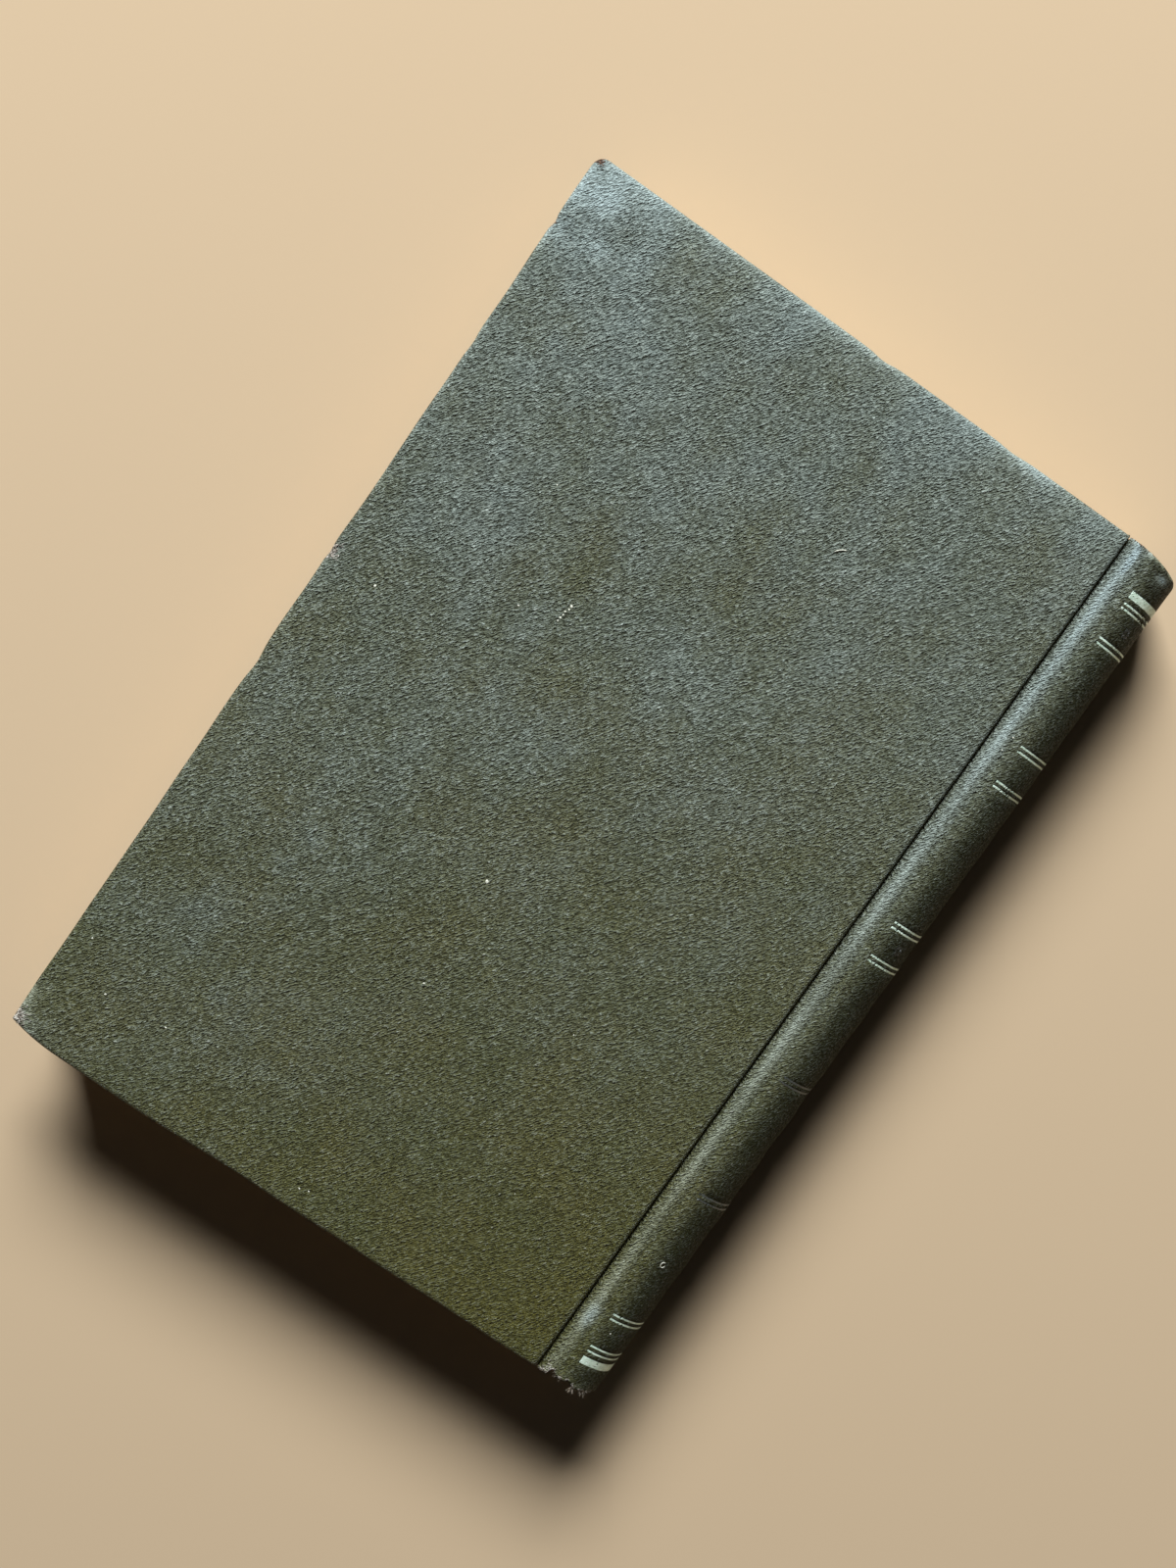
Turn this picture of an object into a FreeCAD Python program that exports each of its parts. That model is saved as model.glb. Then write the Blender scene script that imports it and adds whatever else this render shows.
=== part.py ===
import FreeCAD, Part
import math
import os

Vector = FreeCAD.Vector
RIGHT_ANGLE = 90.0

# A closed hardback book lying on its front cover. X runs from the fore-edge to the spine,
# Y from the tail to the head and Z up. The origin is at the middle of the whole book's base.
# All lengths are in millimetres, all angles in degrees.
book_height = 220.0
book_thickness = 25.0
cover_width = 136.2

# Covering, boards and paper
leather_thickness = 0.5
pared_thickness = 0.3
board_thickness = 2.5
paper_thickness = 0.15
turn_in_width = 15.0
pastedown_margin = 4.0
square = 3.0
edge_round = 0.4

# The upper cover's corners are worn: one is knocked in along the tail, the other rubbed round
plain_corner = 2.0
knocked_run = 12.0
knocked_rise = 1.8
dent_radius = 6.0
fore_edge_dents = [(-16.0, 0.5), (64.0, 0.4), (94.0, 0.5)]
head_edge_dents = [(4.0, 0.4), (37.0, 0.35)]

# The joint: a narrow valley beside the cover, then the shoulder under the covering
joint_clearance = 0.3
joint_flat = 4.7
ridge_drop = 0.6
ridge_start = 1.3
shoulder_flat = 1.0
valley_drop = 1.4

# The hollow back, from the covering inwards
stiffener_thickness = 0.6
hollow_clearance = 0.1
lining_thickness = 0.2
mull_thickness = 0.3
mull_margin = 15.0
cap_turn_in = 12.0

# Sewing tapes and worked end bands
tape_count = 4
tape_width = 12.0
tape_thickness = 0.5
bead_radius = 1.1
bead_seat = 0.6
bead_half_angle = 62.0

# Tooling on the spine. Places are the middles of lines, from the tail end, the middle or the head end,
# and a pair is given by its line that is nearer to that reference
tool_depth = 0.12
foil_thickness = 0.08
faded_foil_thickness = 0.04
tooled_from_joint = 7.2
tail_wide_place = 7.2
tail_wide_width = 2.0
head_wide_place = 9.75
head_wide_width = 1.9
fillet_width = 0.5
pair_pitch = 1.25
tail_fillet_places = [9.5, 10.8]
head_fillet_places = [12.0, 13.1]
tail_pair_places = [18.2]
faded_pair_places = [51.0, 82.5]
middle_pair_places = [5.0, 13.7]
head_pair_places = [20.75, 49.05, 57.95]
tail_ornament_places = [14.9]
middle_ornament_places = [10.0]
head_ornament_places = [16.8, 54.4]
ornament_half_turn = 52.0
ornament_count = 3
ornament_ring = (1.4, 0.9)
ornament_dot = 0.4

# The torn tail end of the spine: distance from the joint, and how far the covering is lost
tail_tear = [(1.5, 0.0), (2.1, 1.2), (3.6, 0.8), (5.0, 1.5), (6.4, 1.1), (7.5, 0.5),
             (8.6, 1.6), (10.0, 0.9), (11.2, 1.4), (12.6, 0.7), (13.6, 0.0)]

# Places worked out from the sizes above
spine_radius = book_thickness / 2 - ridge_drop
book_width = cover_width + joint_flat + spine_radius
fore_x = -book_width / 2
joint_x = fore_x + cover_width
tail_y = -book_height / 2
head_y = book_height / 2
middle_z = book_thickness / 2
spine_x = joint_x + joint_flat
cover_depth = leather_thickness + board_thickness + leather_thickness + paper_thickness
block_top = book_thickness - cover_depth - paper_thickness
block_half = block_top - middle_z
block_fore_x = fore_x + square
block_tail = tail_y + square
block_head = head_y - square

covering_inside = spine_radius - leather_thickness
stiffener_inside = covering_inside - stiffener_thickness
turn_in_inside = stiffener_inside - pared_thickness
lining_outside = turn_in_inside - hollow_clearance
mull_outside = lining_outside - lining_thickness
block_radius = mull_outside - mull_thickness
tape_inside = block_radius - tape_thickness

shoulder_top = middle_z + covering_inside
shoulder_end = joint_x + ridge_start + shoulder_flat
tooled_half_angle = math.degrees(math.acos((tooled_from_joint - joint_flat) / spine_radius))
stiffener_half_angle = math.degrees(math.acos(stiffener_thickness / covering_inside))


def tangent_angle():
    """Angle at which a line from the shoulder's end touches the rounded back of the block."""
    along = shoulder_end - spine_x
    up = shoulder_top - middle_z
    distance = math.hypot(along, up)
    return math.degrees(math.atan2(up, along) - math.acos(block_radius / distance))


back_half_angle = tangent_angle()


def on_round(radius, angle):
    """Point of the section, on a circle about the spine's centre line."""
    turn = math.radians(angle)
    return (spine_x + radius * math.cos(turn), middle_z + radius * math.sin(turn))


def underside(point):
    """The same point of the section on the lower half of the book."""
    return (point[0], book_thickness - point[1])


def closed_face(start, steps, place):
    """Face bounded by lines (end,) and arcs (through, end), from 2D points put in place."""
    edges = []
    here = place(start)
    for step in steps + [(start,)]:
        there = place(step[-1])
        if len(step) == 2:
            edges.append(Part.Arc(here, place(step[0]), there).toShape())
        else:
            edges.append(Part.LineSegment(here, there).toShape())
        here = there
    return Part.Face(Part.Wire(edges))


def lengthwise(start, steps, low, high):
    """Section in XZ, run along the spine from low to high."""
    face = closed_face(start, steps, lambda point: Vector(point[0], low, point[1]))
    return face.extrude(Vector(0, high - low, 0))


def upright(start, steps, low, high):
    """Outline in XY, raised from low to high."""
    face = closed_face(start, steps, lambda point: Vector(point[0], point[1], low))
    return face.extrude(Vector(0, 0, high - low))


def slab(x_low, x_high, y_low, y_high, z_low, z_high):
    return Part.makeBox(x_high - x_low, y_high - y_low, z_high - z_low, Vector(x_low, y_low, z_low))


def round_layer(inside, outside, half_angle, low, high):
    """One layer of the rounded back, between two radii and to the same angle each side."""
    steps = [
        (on_round(outside, 0.0), on_round(outside, half_angle)),
        (on_round(inside, half_angle),),
        (on_round(inside, 0.0), on_round(inside, -half_angle)),
    ]
    return lengthwise(on_round(outside, -half_angle), steps, low, high)


def to_lower_cover(shape):
    return shape.mirror(Vector(0, 0, middle_z), Vector(0, 0, 1))


def export(name, shapes):
    shape = shapes[0] if len(shapes) == 1 else Part.makeCompound(shapes)
    shape.exportStep("parts/" + name + ".step")


# Text block and endpapers
def block_section():
    shoulder_foot = (joint_x + joint_clearance, block_top)
    shoulder_peak = (joint_x + ridge_start, shoulder_top)
    shoulder_back = (shoulder_end, shoulder_top)
    touch = on_round(block_radius, back_half_angle)
    hollow = block_radius - math.sqrt(block_radius ** 2 - block_half ** 2)
    start = (block_fore_x, block_top)
    steps = [
        ((block_fore_x + hollow, middle_z), underside(start)),
        (underside(shoulder_foot),),
        (underside(shoulder_peak),),
        (underside(shoulder_back),),
        (underside(touch),),
        (on_round(block_radius, 0.0), touch),
        (shoulder_back,),
        (shoulder_peak,),
        (shoulder_foot,),
    ]
    return start, steps


def make_tapes():
    pitch = (block_head - block_tail) / (tape_count + 1)
    tapes = []
    for number in range(1, tape_count + 1):
        low = block_tail + number * pitch - tape_width / 2
        tapes.append(round_layer(tape_inside, block_radius, back_half_angle, low, low + tape_width))
    return tapes


def make_text_block(tapes):
    start, steps = block_section()
    block = lengthwise(start, steps, block_tail, block_head)
    return block.cut(Part.makeCompound(tapes))


def make_flyleaf():
    return slab(block_fore_x, joint_x, block_tail, block_head, block_top, block_top + paper_thickness)


def make_end_band(end, outwards):
    """Half-round bead that sits on the end of the block and follows its rounded back."""
    middle = block_radius - bead_radius
    half_seat = math.sqrt(bead_radius ** 2 - bead_seat ** 2)
    start = (spine_x + middle - half_seat, end)
    crown = (spine_x + middle, end + outwards * (bead_seat + bead_radius))
    finish = (spine_x + middle + half_seat, end)
    bead = closed_face(start, [(crown, finish)], lambda point: Vector(point[0], point[1], middle_z))
    centre = Vector(spine_x, 0, middle_z)
    bead.rotate(centre, Vector(0, 1, 0), -bead_half_angle)
    return bead.revolve(centre, Vector(0, 1, 0), 2 * bead_half_angle)


# Spine covering with its tooling
def covering_section():
    outer_lip = (joint_x + joint_clearance, book_thickness - valley_drop)
    outer_ridge = (joint_x + ridge_start, book_thickness - ridge_drop)
    outer_flat = (spine_x, book_thickness - ridge_drop)
    inner_lip = (outer_lip[0], outer_lip[1] - leather_thickness)
    inner_ridge = (outer_ridge[0], shoulder_top)
    inner_flat = (spine_x, shoulder_top)
    above_tooling = (RIGHT_ANGLE + tooled_half_angle) / 2
    tooling_edge = on_round(spine_radius, tooled_half_angle)
    steps = [
        (outer_ridge,),
        (outer_flat,),
        (on_round(spine_radius, above_tooling), tooling_edge),
        (on_round(spine_radius, 0.0), underside(tooling_edge)),
        (underside(on_round(spine_radius, above_tooling)), underside(outer_flat)),
        (underside(outer_ridge),),
        (underside(outer_lip),),
        (underside(inner_lip),),
        (underside(inner_ridge),),
        (underside(inner_flat),),
        (on_round(covering_inside, 0.0), inner_flat),
        (inner_ridge,),
        (inner_lip,),
    ]
    return outer_lip, steps


def tail_tear_cut():
    """The space where the covering and its card are lost, in the upper half of the tail end."""
    points = [(joint_x + along, tail_y + lost) for along, lost in tail_tear]
    outside = tail_y - leather_thickness
    start = (points[0][0], outside)
    steps = [(point,) for point in points] + [((points[-1][0], outside),)]
    return upright(start, steps, middle_z + block_half / 2, book_thickness)


def make_stiffener():
    card = round_layer(stiffener_inside, covering_inside, stiffener_half_angle,
                       tail_y + leather_thickness, head_y - leather_thickness)
    return card.cut(tail_tear_cut())


def make_covering():
    start, steps = covering_section()
    covering = lengthwise(start, steps, tail_y, head_y)
    for end, inwards in ((tail_y, 1), (head_y, -1)):
        lip = sorted((end, end + inwards * leather_thickness))
        turned = sorted((end, end + inwards * cap_turn_in))
        covering = covering.fuse(round_layer(turn_in_inside, covering_inside, stiffener_half_angle, *lip))
        covering = covering.fuse(round_layer(turn_in_inside, stiffener_inside, stiffener_half_angle, *turned))
    return covering.cut(tail_tear_cut())


def from_tail(places):
    return [tail_y + place for place in places]


def from_middle(places):
    return [(tail_y + head_y) / 2 + place for place in places]


def from_head(places):
    return [head_y - place for place in places]


def pairs(reference, places):
    """Places of both lines of each pair, counted from one reference."""
    return reference(places) + reference([place + pair_pitch for place in places])


def line_layers(places, width, inside, outside):
    return [round_layer(inside, outside, tooled_half_angle, place - width / 2, place + width / 2)
            for place in places]


def ornament_post(radius, place, turn):
    """Round post out of the spine's centre line, at one tool's place."""
    towards = Vector(math.cos(math.radians(turn)), 0, math.sin(math.radians(turn)))
    return Part.makeCylinder(radius, spine_radius + leather_thickness, Vector(spine_x, place, middle_z), towards)


def ornament_turns():
    step = 2 * ornament_half_turn / (ornament_count - 1)
    return [-ornament_half_turn + step * number for number in range(ornament_count)]


def make_ornaments(places):
    """Small ring and dot tools in a row across the spine, and the sunk places they stand in."""
    bottom = spine_radius - tool_depth
    width = 2 * ornament_ring[0]
    foil = []
    sunk = []
    for place in places:
        thin = line_layers([place], width, bottom, bottom + faded_foil_thickness)[0]
        deep = line_layers([place], width, bottom, spine_radius + leather_thickness)[0]
        for turn in ornament_turns():
            outer = ornament_post(ornament_ring[0], place, turn)
            inner = ornament_post(ornament_ring[1], place, turn)
            dot = ornament_post(ornament_dot, place, turn)
            foil.append(thin.common(outer.cut(inner)))
            foil.append(thin.common(dot))
            sunk.append(deep.common(outer))
    return foil, sunk


# Covers, drawn as the upper one and mirrored for the lower
def cover_outline(inset, knocked):
    """Plan of a cover, set in from its edges, with a rubbed or a knocked tail corner."""
    fore = fore_x + inset
    tail = tail_y + inset
    head = head_y - inset
    joint = joint_x - inset
    corner = plain_corner
    soft = corner * (1 - math.sqrt(0.5))
    if knocked:
        radius = (knocked_run ** 2 + knocked_rise ** 2) / (2 * knocked_rise)
        bulge = radius - math.sqrt(radius ** 2 - (knocked_run / 2) ** 2)
        tail_corner = [
            ((fore + knocked_run, tail),),
            ((fore + knocked_run / 2, tail + bulge), (fore, tail + knocked_rise)),
        ]
    else:
        tail_corner = [
            ((fore + corner, tail),),
            ((fore + soft, tail + soft), (fore, tail + corner)),
        ]
    steps = tail_corner + [
        ((fore, head - corner),),
        ((fore + soft, head - soft), (fore + corner, head)),
        ((joint, head),),
    ]
    return (joint, tail), steps


def edge_dent_cuts(inset):
    """Shallow knocks in the upper cover's edges, as upright rounds that bite into the plan."""
    cuts = []
    height = cover_depth * 2
    foot = book_thickness - cover_depth - paper_thickness
    for place, depth in fore_edge_dents:
        centre = Vector(fore_x + inset + depth - dent_radius, place, foot)
        cuts.append(Part.makeCylinder(dent_radius, height, centre))
    for place, depth in head_edge_dents:
        centre = Vector(joint_x - cover_width / 2 + place, head_y - inset - depth + dent_radius, foot)
        cuts.append(Part.makeCylinder(dent_radius, height, centre))
    return Part.makeCompound(cuts)


def outer_rim(shape):
    """Edges round the outside face of a cover, all but the one beside the joint."""
    rim = []
    for edge in shape.Edges:
        box = edge.BoundBox
        on_face = box.ZMin > book_thickness - edge_round
        beside_joint = box.XMin > joint_x - edge_round
        if on_face and not beside_joint:
            rim.append(edge)
    return rim


def make_board(knocked):
    top = book_thickness - leather_thickness
    start, steps = cover_outline(leather_thickness, knocked)
    board = upright(start, steps, top - board_thickness, top)
    if knocked:
        board = board.cut(edge_dent_cuts(leather_thickness))
    return board


def inner_window(reach, low, high):
    """The space inside the turned-in leather, open at the joint."""
    return slab(fore_x + turn_in_width + reach, joint_x, tail_y + turn_in_width + reach,
                head_y - turn_in_width - reach, low, high)


def make_cover_leather(board, knocked):
    board_face = book_thickness - leather_thickness - board_thickness
    turned_face = board_face - leather_thickness
    start, steps = cover_outline(0.0, knocked)
    wrap = upright(start, steps, turned_face, book_thickness)
    if knocked:
        wrap = wrap.cut(edge_dent_cuts(0.0))
    wrap = wrap.makeFillet(edge_round, outer_rim(wrap))
    return wrap.cut(board).cut(inner_window(0.0, turned_face, board_face))


def make_pastedown():
    board_face = book_thickness - leather_thickness - board_thickness
    turned_face = board_face - leather_thickness
    sheet = slab(fore_x + pastedown_margin, joint_x, tail_y + pastedown_margin,
                 head_y - pastedown_margin, turned_face - paper_thickness, board_face)
    turn_ins = slab(fore_x, joint_x, tail_y, head_y, turned_face, board_face)
    turn_ins = turn_ins.cut(inner_window(0.0, turned_face, board_face))
    pocket = inner_window(paper_thickness, turned_face - paper_thickness, board_face - paper_thickness)
    return sheet.cut(turn_ins).cut(pocket)


def export_cover(name, knocked, place):
    board = make_board(knocked)
    export(name + "_board", [place(board)])
    export(name + "_cover_leather", [place(make_cover_leather(board, knocked))])
    export(name + "_pastedown", [place(make_pastedown())])


def export_block():
    tapes = make_tapes()
    flyleaf = make_flyleaf()
    export("text_block", [make_text_block(tapes)])
    export("sewing_tapes", tapes)
    export("back_flyleaf", [flyleaf])
    export("front_flyleaf", [to_lower_cover(flyleaf)])
    export("mull", [round_layer(block_radius, mull_outside, back_half_angle,
                                block_tail + mull_margin, block_head - mull_margin)])
    export("spine_lining", [round_layer(mull_outside, lining_outside, back_half_angle,
                                        block_tail, block_head)])
    export("head_band", [make_end_band(block_head, 1)])
    export("tail_band", [make_end_band(block_tail, -1)])


def export_spine():
    panel_pairs = pairs(from_tail, tail_pair_places) + pairs(from_middle, middle_pair_places)
    panel_pairs += pairs(from_head, head_pair_places)
    groups = [
        ("tail_end_band", from_tail([tail_wide_place]), tail_wide_width, foil_thickness),
        ("head_end_band", from_head([head_wide_place]), head_wide_width, foil_thickness),
        ("tail_end_fillets", from_tail(tail_fillet_places), fillet_width, foil_thickness),
        ("head_end_fillets", from_head(head_fillet_places), fillet_width, foil_thickness),
        ("panel_fillets", panel_pairs, fillet_width, foil_thickness),
        ("faded_fillets", pairs(from_tail, faded_pair_places), fillet_width, faded_foil_thickness),
    ]
    ornament_places = from_tail(tail_ornament_places) + from_middle(middle_ornament_places)
    ornaments, sunk = make_ornaments(ornament_places + from_head(head_ornament_places))
    bottom = spine_radius - tool_depth
    for name, places, width, thickness in groups:
        sunk += line_layers(places, width, bottom, spine_radius + leather_thickness)
        export(name, line_layers(places, width, bottom, bottom + thickness))
    export("panel_ornaments", ornaments)
    export("spine_leather", [make_covering().cut(Part.makeCompound(sunk))])
    export("spine_stiffener", [make_stiffener()])


os.makedirs("parts", exist_ok=True)
export_block()
export_spine()
export_cover("back", True, lambda shape: shape)
export_cover("front", False, to_lower_cover)
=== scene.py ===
import math

import bmesh
import bpy
import numpy as np
from mathutils import Matrix, Vector


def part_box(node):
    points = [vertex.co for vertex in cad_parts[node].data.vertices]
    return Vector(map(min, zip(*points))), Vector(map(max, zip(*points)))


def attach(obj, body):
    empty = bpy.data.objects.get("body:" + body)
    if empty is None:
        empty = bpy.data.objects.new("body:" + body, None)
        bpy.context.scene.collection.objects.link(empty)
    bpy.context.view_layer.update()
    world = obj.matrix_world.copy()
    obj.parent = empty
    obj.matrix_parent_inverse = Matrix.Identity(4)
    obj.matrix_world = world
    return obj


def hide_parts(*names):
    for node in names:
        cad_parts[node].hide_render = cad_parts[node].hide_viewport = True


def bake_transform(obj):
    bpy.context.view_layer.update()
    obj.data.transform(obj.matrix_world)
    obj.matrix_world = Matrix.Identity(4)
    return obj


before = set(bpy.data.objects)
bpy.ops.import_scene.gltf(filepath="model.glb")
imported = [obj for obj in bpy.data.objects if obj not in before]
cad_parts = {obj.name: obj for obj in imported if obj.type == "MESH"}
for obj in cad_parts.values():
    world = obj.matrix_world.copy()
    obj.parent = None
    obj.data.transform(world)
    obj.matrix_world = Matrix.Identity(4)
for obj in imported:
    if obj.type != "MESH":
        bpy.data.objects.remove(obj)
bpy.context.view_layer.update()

# Lengths here are millimetres, and a mesh is brought to metres as it is made. Only the floor's and the
# lamp's own lengths are metres.
# The upper cover is the back one, the lower cover the front one.
MM = 0.001
# Points nearer to each other than this are one
MERGE_WITHIN = 0.004


def node_box(name):
    low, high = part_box(name)
    return np.array(low) / MM, np.array(high) / MM


# Places taken from the frame
cover_low, cover_high = node_box("back_cover_leather")
spine_low, spine_high = node_box("spine_leather")
block_low, block_high = node_box("text_block")
flyleaf_low, flyleaf_high = node_box("back_flyleaf")
FORE_X, TAIL_Y, TURNED_Z = cover_low
JOINT_X, HEAD_Y, TOP_Z = cover_high
MIDDLE_Z = TOP_Z / 2
SPINE_RADIUS = (spine_high[2] - spine_low[2]) / 2
SPINE_X = spine_high[0] - SPINE_RADIUS
BLOCK_TOP = flyleaf_low[2]
BLOCK_RADIUS = block_high[0] - SPINE_X

# Share of their thickness that the sheets' meshes have, so that two that lie together don't touch
SHEET_SHARE = 0.9
CARD_SHARE = 0.95

# Covering of the covers
LEATHER = 0.5
PAPER = 0.15
EDGE_ROUND = 0.9
JOINT_ROLL = 1.5
JOINT_WALL = 0.4
TURN_IN = 15.0
CORNER = 2.6
LOWER_CORNER = 2.0
KNOCKED_RUN = 12.0
KNOCKED_RISE = 1.8
KNOCKED_REACH = 6.0
EDGE_DROOP = 0.3
DENT_RUN = 3.0
FORE_DENTS = [(-16.0, 0.4, 4.0), (12.5, 0.5, 1.2), (64.0, 0.3, 3.0), (94.0, 0.45, 1.3)]
HEAD_DENTS = [(-4.3, 0.5, 3.5), (29.0, 0.35, 4.0)]
# Steps of the covers' meshes: wide ones, close ones near the edges, and how far in the close ones reach
FACE_STEPS = (1.8, 0.45, 5.4)
SLAB_STEPS = (3.0, 1.0, 6.0)

# Spine: distances from the joint and drops below the covers' outer plane
FLANK = [(0.3, 1.7), (0.6, 1.2), (1.0, 0.85), (1.6, 0.6), (2.3, 0.5), (3.0, 0.54), (3.8, 0.68), (4.7, 0.88)]
STIFFENER_EDGE = (88.0, 84.0)
STIFFENER_STEP = 0.28
STIFFENER = 0.6
STIFFENER_SET_BACK = 0.8
END_ROUND = 2.4
END_SLANT = 1.6
SLANT_START = 3.5
SLANT_RUN = 11.0
TOOLED_FROM_JOINT = 7.2
TOOL_DEPTH = 0.1
TOOL_SLOPE = 0.07
CAP_ROUND = 0.7
CAP_TURN_IN = 12.0
FLANK_TURN_IN = 2.5
SPINE_LEATHER = 0.3
# Painted shade on the spine's round, darker away from the upper joint where the round turns from the light:
# where it starts from the joint, the run over which it grows, and its strength
SPINE_SHADE = (4.5, 6.0, 0.72)
TAIL_TEAR = [(0.0, 0.0), (2.4, 0.0), (2.9, 1.5), (3.8, 1.7), (4.6, 0.9), (6.4, 0.7), (7.4, 1.3),
             (8.6, 1.1), (9.6, 0.2), (11.0, 0.4), (12.6, 0.0), (13.6, 0.3), (15.0, 0.6), (17.0, 0.3)]

# Tooled lines: middles from the tail end, the spine's middle and the head end, and their widths
FILLET = 0.5
PAIR_PITCH = 1.25
TAIL_BAND = (7.2, 2.0)
HEAD_BAND = (9.75, 1.9)
TAIL_FILLETS = [9.5, 10.8]
HEAD_FILLETS = [12.0, 13.1]
TAIL_PAIRS = [18.2]
FADED_PAIRS = [51.0, 82.5]
MIDDLE_PAIRS = [5.0, 13.7]
HEAD_PAIRS = [20.75, 49.05, 57.95]
TAIL_ORNAMENTS = [14.9]
MIDDLE_ORNAMENTS = [10.0]
HEAD_ORNAMENTS = [16.8, 54.4]
ORNAMENT_TURNS = (-52.0, 0.0, 52.0)
ORNAMENT_RADIUS = 1.35
ORNAMENT_PETALS = 8
PETAL_WIDTH = 0.62
FOIL = 0.03
FOIL_LIFT = 0.035
FOIL_STEPS = 321

# Joints: depth of the valley and height of the endpaper's fold inside it
VALLEY_DEPTH = 1.85
PAPER_FOLD = 1.35
JOINT_LEATHER = 0.25
JOINT_SET_BACK = 0.6
FOLD_PAPER = 0.04

# Text block: lines of leaves that are drawn, how many of them a section has, and how far the line
# between two sections is sunk
LEAF_LINES = 161
SECTION_LINES = 10
FOLD_SUNK = 0.16
# Its backed shoulder's foot and peak from the joint, and the run over which the leaves bend to the back
SHOULDER_FOOT = 2.3
SHOULDER_PEAK = 1.3
BACK_BEND = 9.0

# End bands: core, turns of silk, how far they go round, and their seat inside the back and past the end
BAND_RADIUS = 1.0
BAND_TURNS = 52
BAND_REACH = 60.0
BAND_INSIDE = 1.1
BAND_SEAT = 0.75

# Marks on the upper cover: place from the fore-edge and the tail, and size
SPECKS = [(66.3, 83.0, 0.42), (67.7, 57.3, 0.3), (11.8, 121.3, 0.32), (38.6, 134.9, 0.24),
          (4.5, 26.0, 0.22), (13.4, 17.4, 0.3), (27.9, 18.5, 0.26), (71.0, 5.0, 0.25), (73.0, 5.6, 0.2),
          (100.5, 66.0, 0.18), (31.0, 160.0, 0.2), (110.0, 30.0, 0.16)]
DOTTED_SCUFF = ((47.0, 137.0), (47.8, 141.0), 6, 0.34)
RUBBED = [(1.4, 122.6, 1.7, 0.9), (0.6, 8.4, 1.5, 1.0), (1.6, 2.6, 2.4, 0.8), (2.8, 11.4, 0.9, 0.6),
          (11.5, 204.0, 2.0, 0.5), (1.5, 203.0, 1.5, 0.6), (18.0, 200.0, 1.2, 0.5), (3.0, 214.0, 5.0, 0.25)]
SPINE_RING = (10.0, 34.4, 0.65)
# Polished places on the spine: from the joint and the tail, reach both ways, and strength
SPINE_RUBBED = [(3.2, 16.5, 1.5, 3.0, 0.5), (3.0, 216.4, 0.6, 2.4, 0.8), (11.6, 216.6, 1.7, 0.9, 0.9)]
SPINE_DOTS = [(12.4, 23.4, 0.22), (4.6, 171.5, 0.2), (4.2, 168.0, 0.16), (9.4, 15.2, 0.24)]
STRAY_FIBRE = ((86.4, 181.6), (87.2, 182.9), (88.6, 183.4))
# Frayed stretches of the spine's torn tail end: from, to, and shortest and longest fibres
TAIL_FRAYED = [(3.6, 6.8, 0.5, 1.2), (9.3, 12.8, 0.8, 2.0)]
TAIL_THREADS = 110
# Frayed stretches of the upper cover's edge: from, to, heading of the fibres in degrees, and how many
FRAYED = [((0.35, 2.3), (2.6, 1.7), 225.0, 46), ((0.6, 121.3), (0.7, 123.9), 185.0, 16),
          ((0.9, 218.6), (1.6, 219.2), 135.0, 9)]

# Grey-blue scuffs on the upper cover, painted partly as patches of sheen: place from the fore-edge and the
# tail, reach along both, and strength
SCUFFS = [(19.0, 151.0, 9.0, 13.0, 0.2), (83.0, 144.0, 11.0, 7.0, 0.12), (52.0, 100.0, 12.0, 8.0, 0.1),
          (41.0, 27.0, 17.0, 12.0, 0.16), (56.0, 112.0, 8.0, 7.0, 0.12), (60.0, 190.0, 11.0, 8.0, 0.16),
          (63.0, 117.0, 6.0, 5.0, 0.1), (30.0, 66.0, 10.0, 16.0, 0.14), (14.0, 178.0, 9.0, 12.0, 0.18),
          (22.0, 44.0, 7.0, 9.0, 0.14), (8.0, 206.0, 12.0, 8.0, 0.3)]

# Grain of the covering: heading of its ridges, stretch of ridges and of pebbles along each axis, waves
# to the millimetre before the stretch, and depth
GRAIN_TURN = -56.0
RIDGE_STRETCH = (0.42, 1.3, 1.0)
PEBBLE_STRETCH = (0.7, 1.3, 1.0)
GRAIN_SCALE = 2.5
GRAIN_DEPTH = 0.9

# Camera and light, worked out from the corners of the cover and the shadow in the photograph
CAMERA_AT = (-59.7, 47.4, 516.8)
CAMERA_AIM = (-4.4, 2.3, 25.0)
CAMERA_UP = (-0.561, 0.816, -0.138)
LENS = 54.1
SENSOR = 36.0
WINDOW_TOWARDS = (-0.482, 0.696, 0.535)
WINDOW_AWAY = 2.4
WINDOW_SIZE = (1.1, 0.8)
WINDOW_POWER = 119.0
ROOM_LIGHT = 0.014
FLOOR_SIZE = 12.0
BACKDROP = (220, 202, 174)
FLOOR_FADE = (0.42, 1.5)
FLOOR_BELOW = 0.02


def paint(red, green, blue):
    """Linear colour of an sRGB one that is given from 0 to 255."""
    def linear(value):
        share = value / 255
        return share / 12.92 if share <= 0.04045 else ((share + 0.055) / 1.055) ** 2.4
    return (linear(red), linear(green), linear(blue), 1.0)


def smooth(value):
    """Eased step from 0 to 1."""
    held = np.clip(value, 0.0, 1.0)
    return held * held * (3 - 2 * held)


def fade(distance, reach):
    """One at a place and behind it, and less with the distance from it."""
    return np.exp(-np.clip(distance, 0, None) / reach)


def hump(distance, reach):
    """One at a place, and less on both sides of it."""
    return np.exp(-(distance / reach) ** 2)


def ripple(points, length, seed):
    """Smooth uneven field of about plus or minus one, with waves of one length, at points."""
    random = np.random.default_rng(seed)
    total = np.zeros(len(points))
    waves = 9
    for _ in range(waves):
        direction = random.normal(size=3)
        direction *= random.uniform(0.6, 1.5) * 2 * math.pi / length / np.linalg.norm(direction)
        total += np.sin(points @ direction + random.uniform(0, 2 * math.pi))
    return total / math.sqrt(waves / 2)


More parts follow.
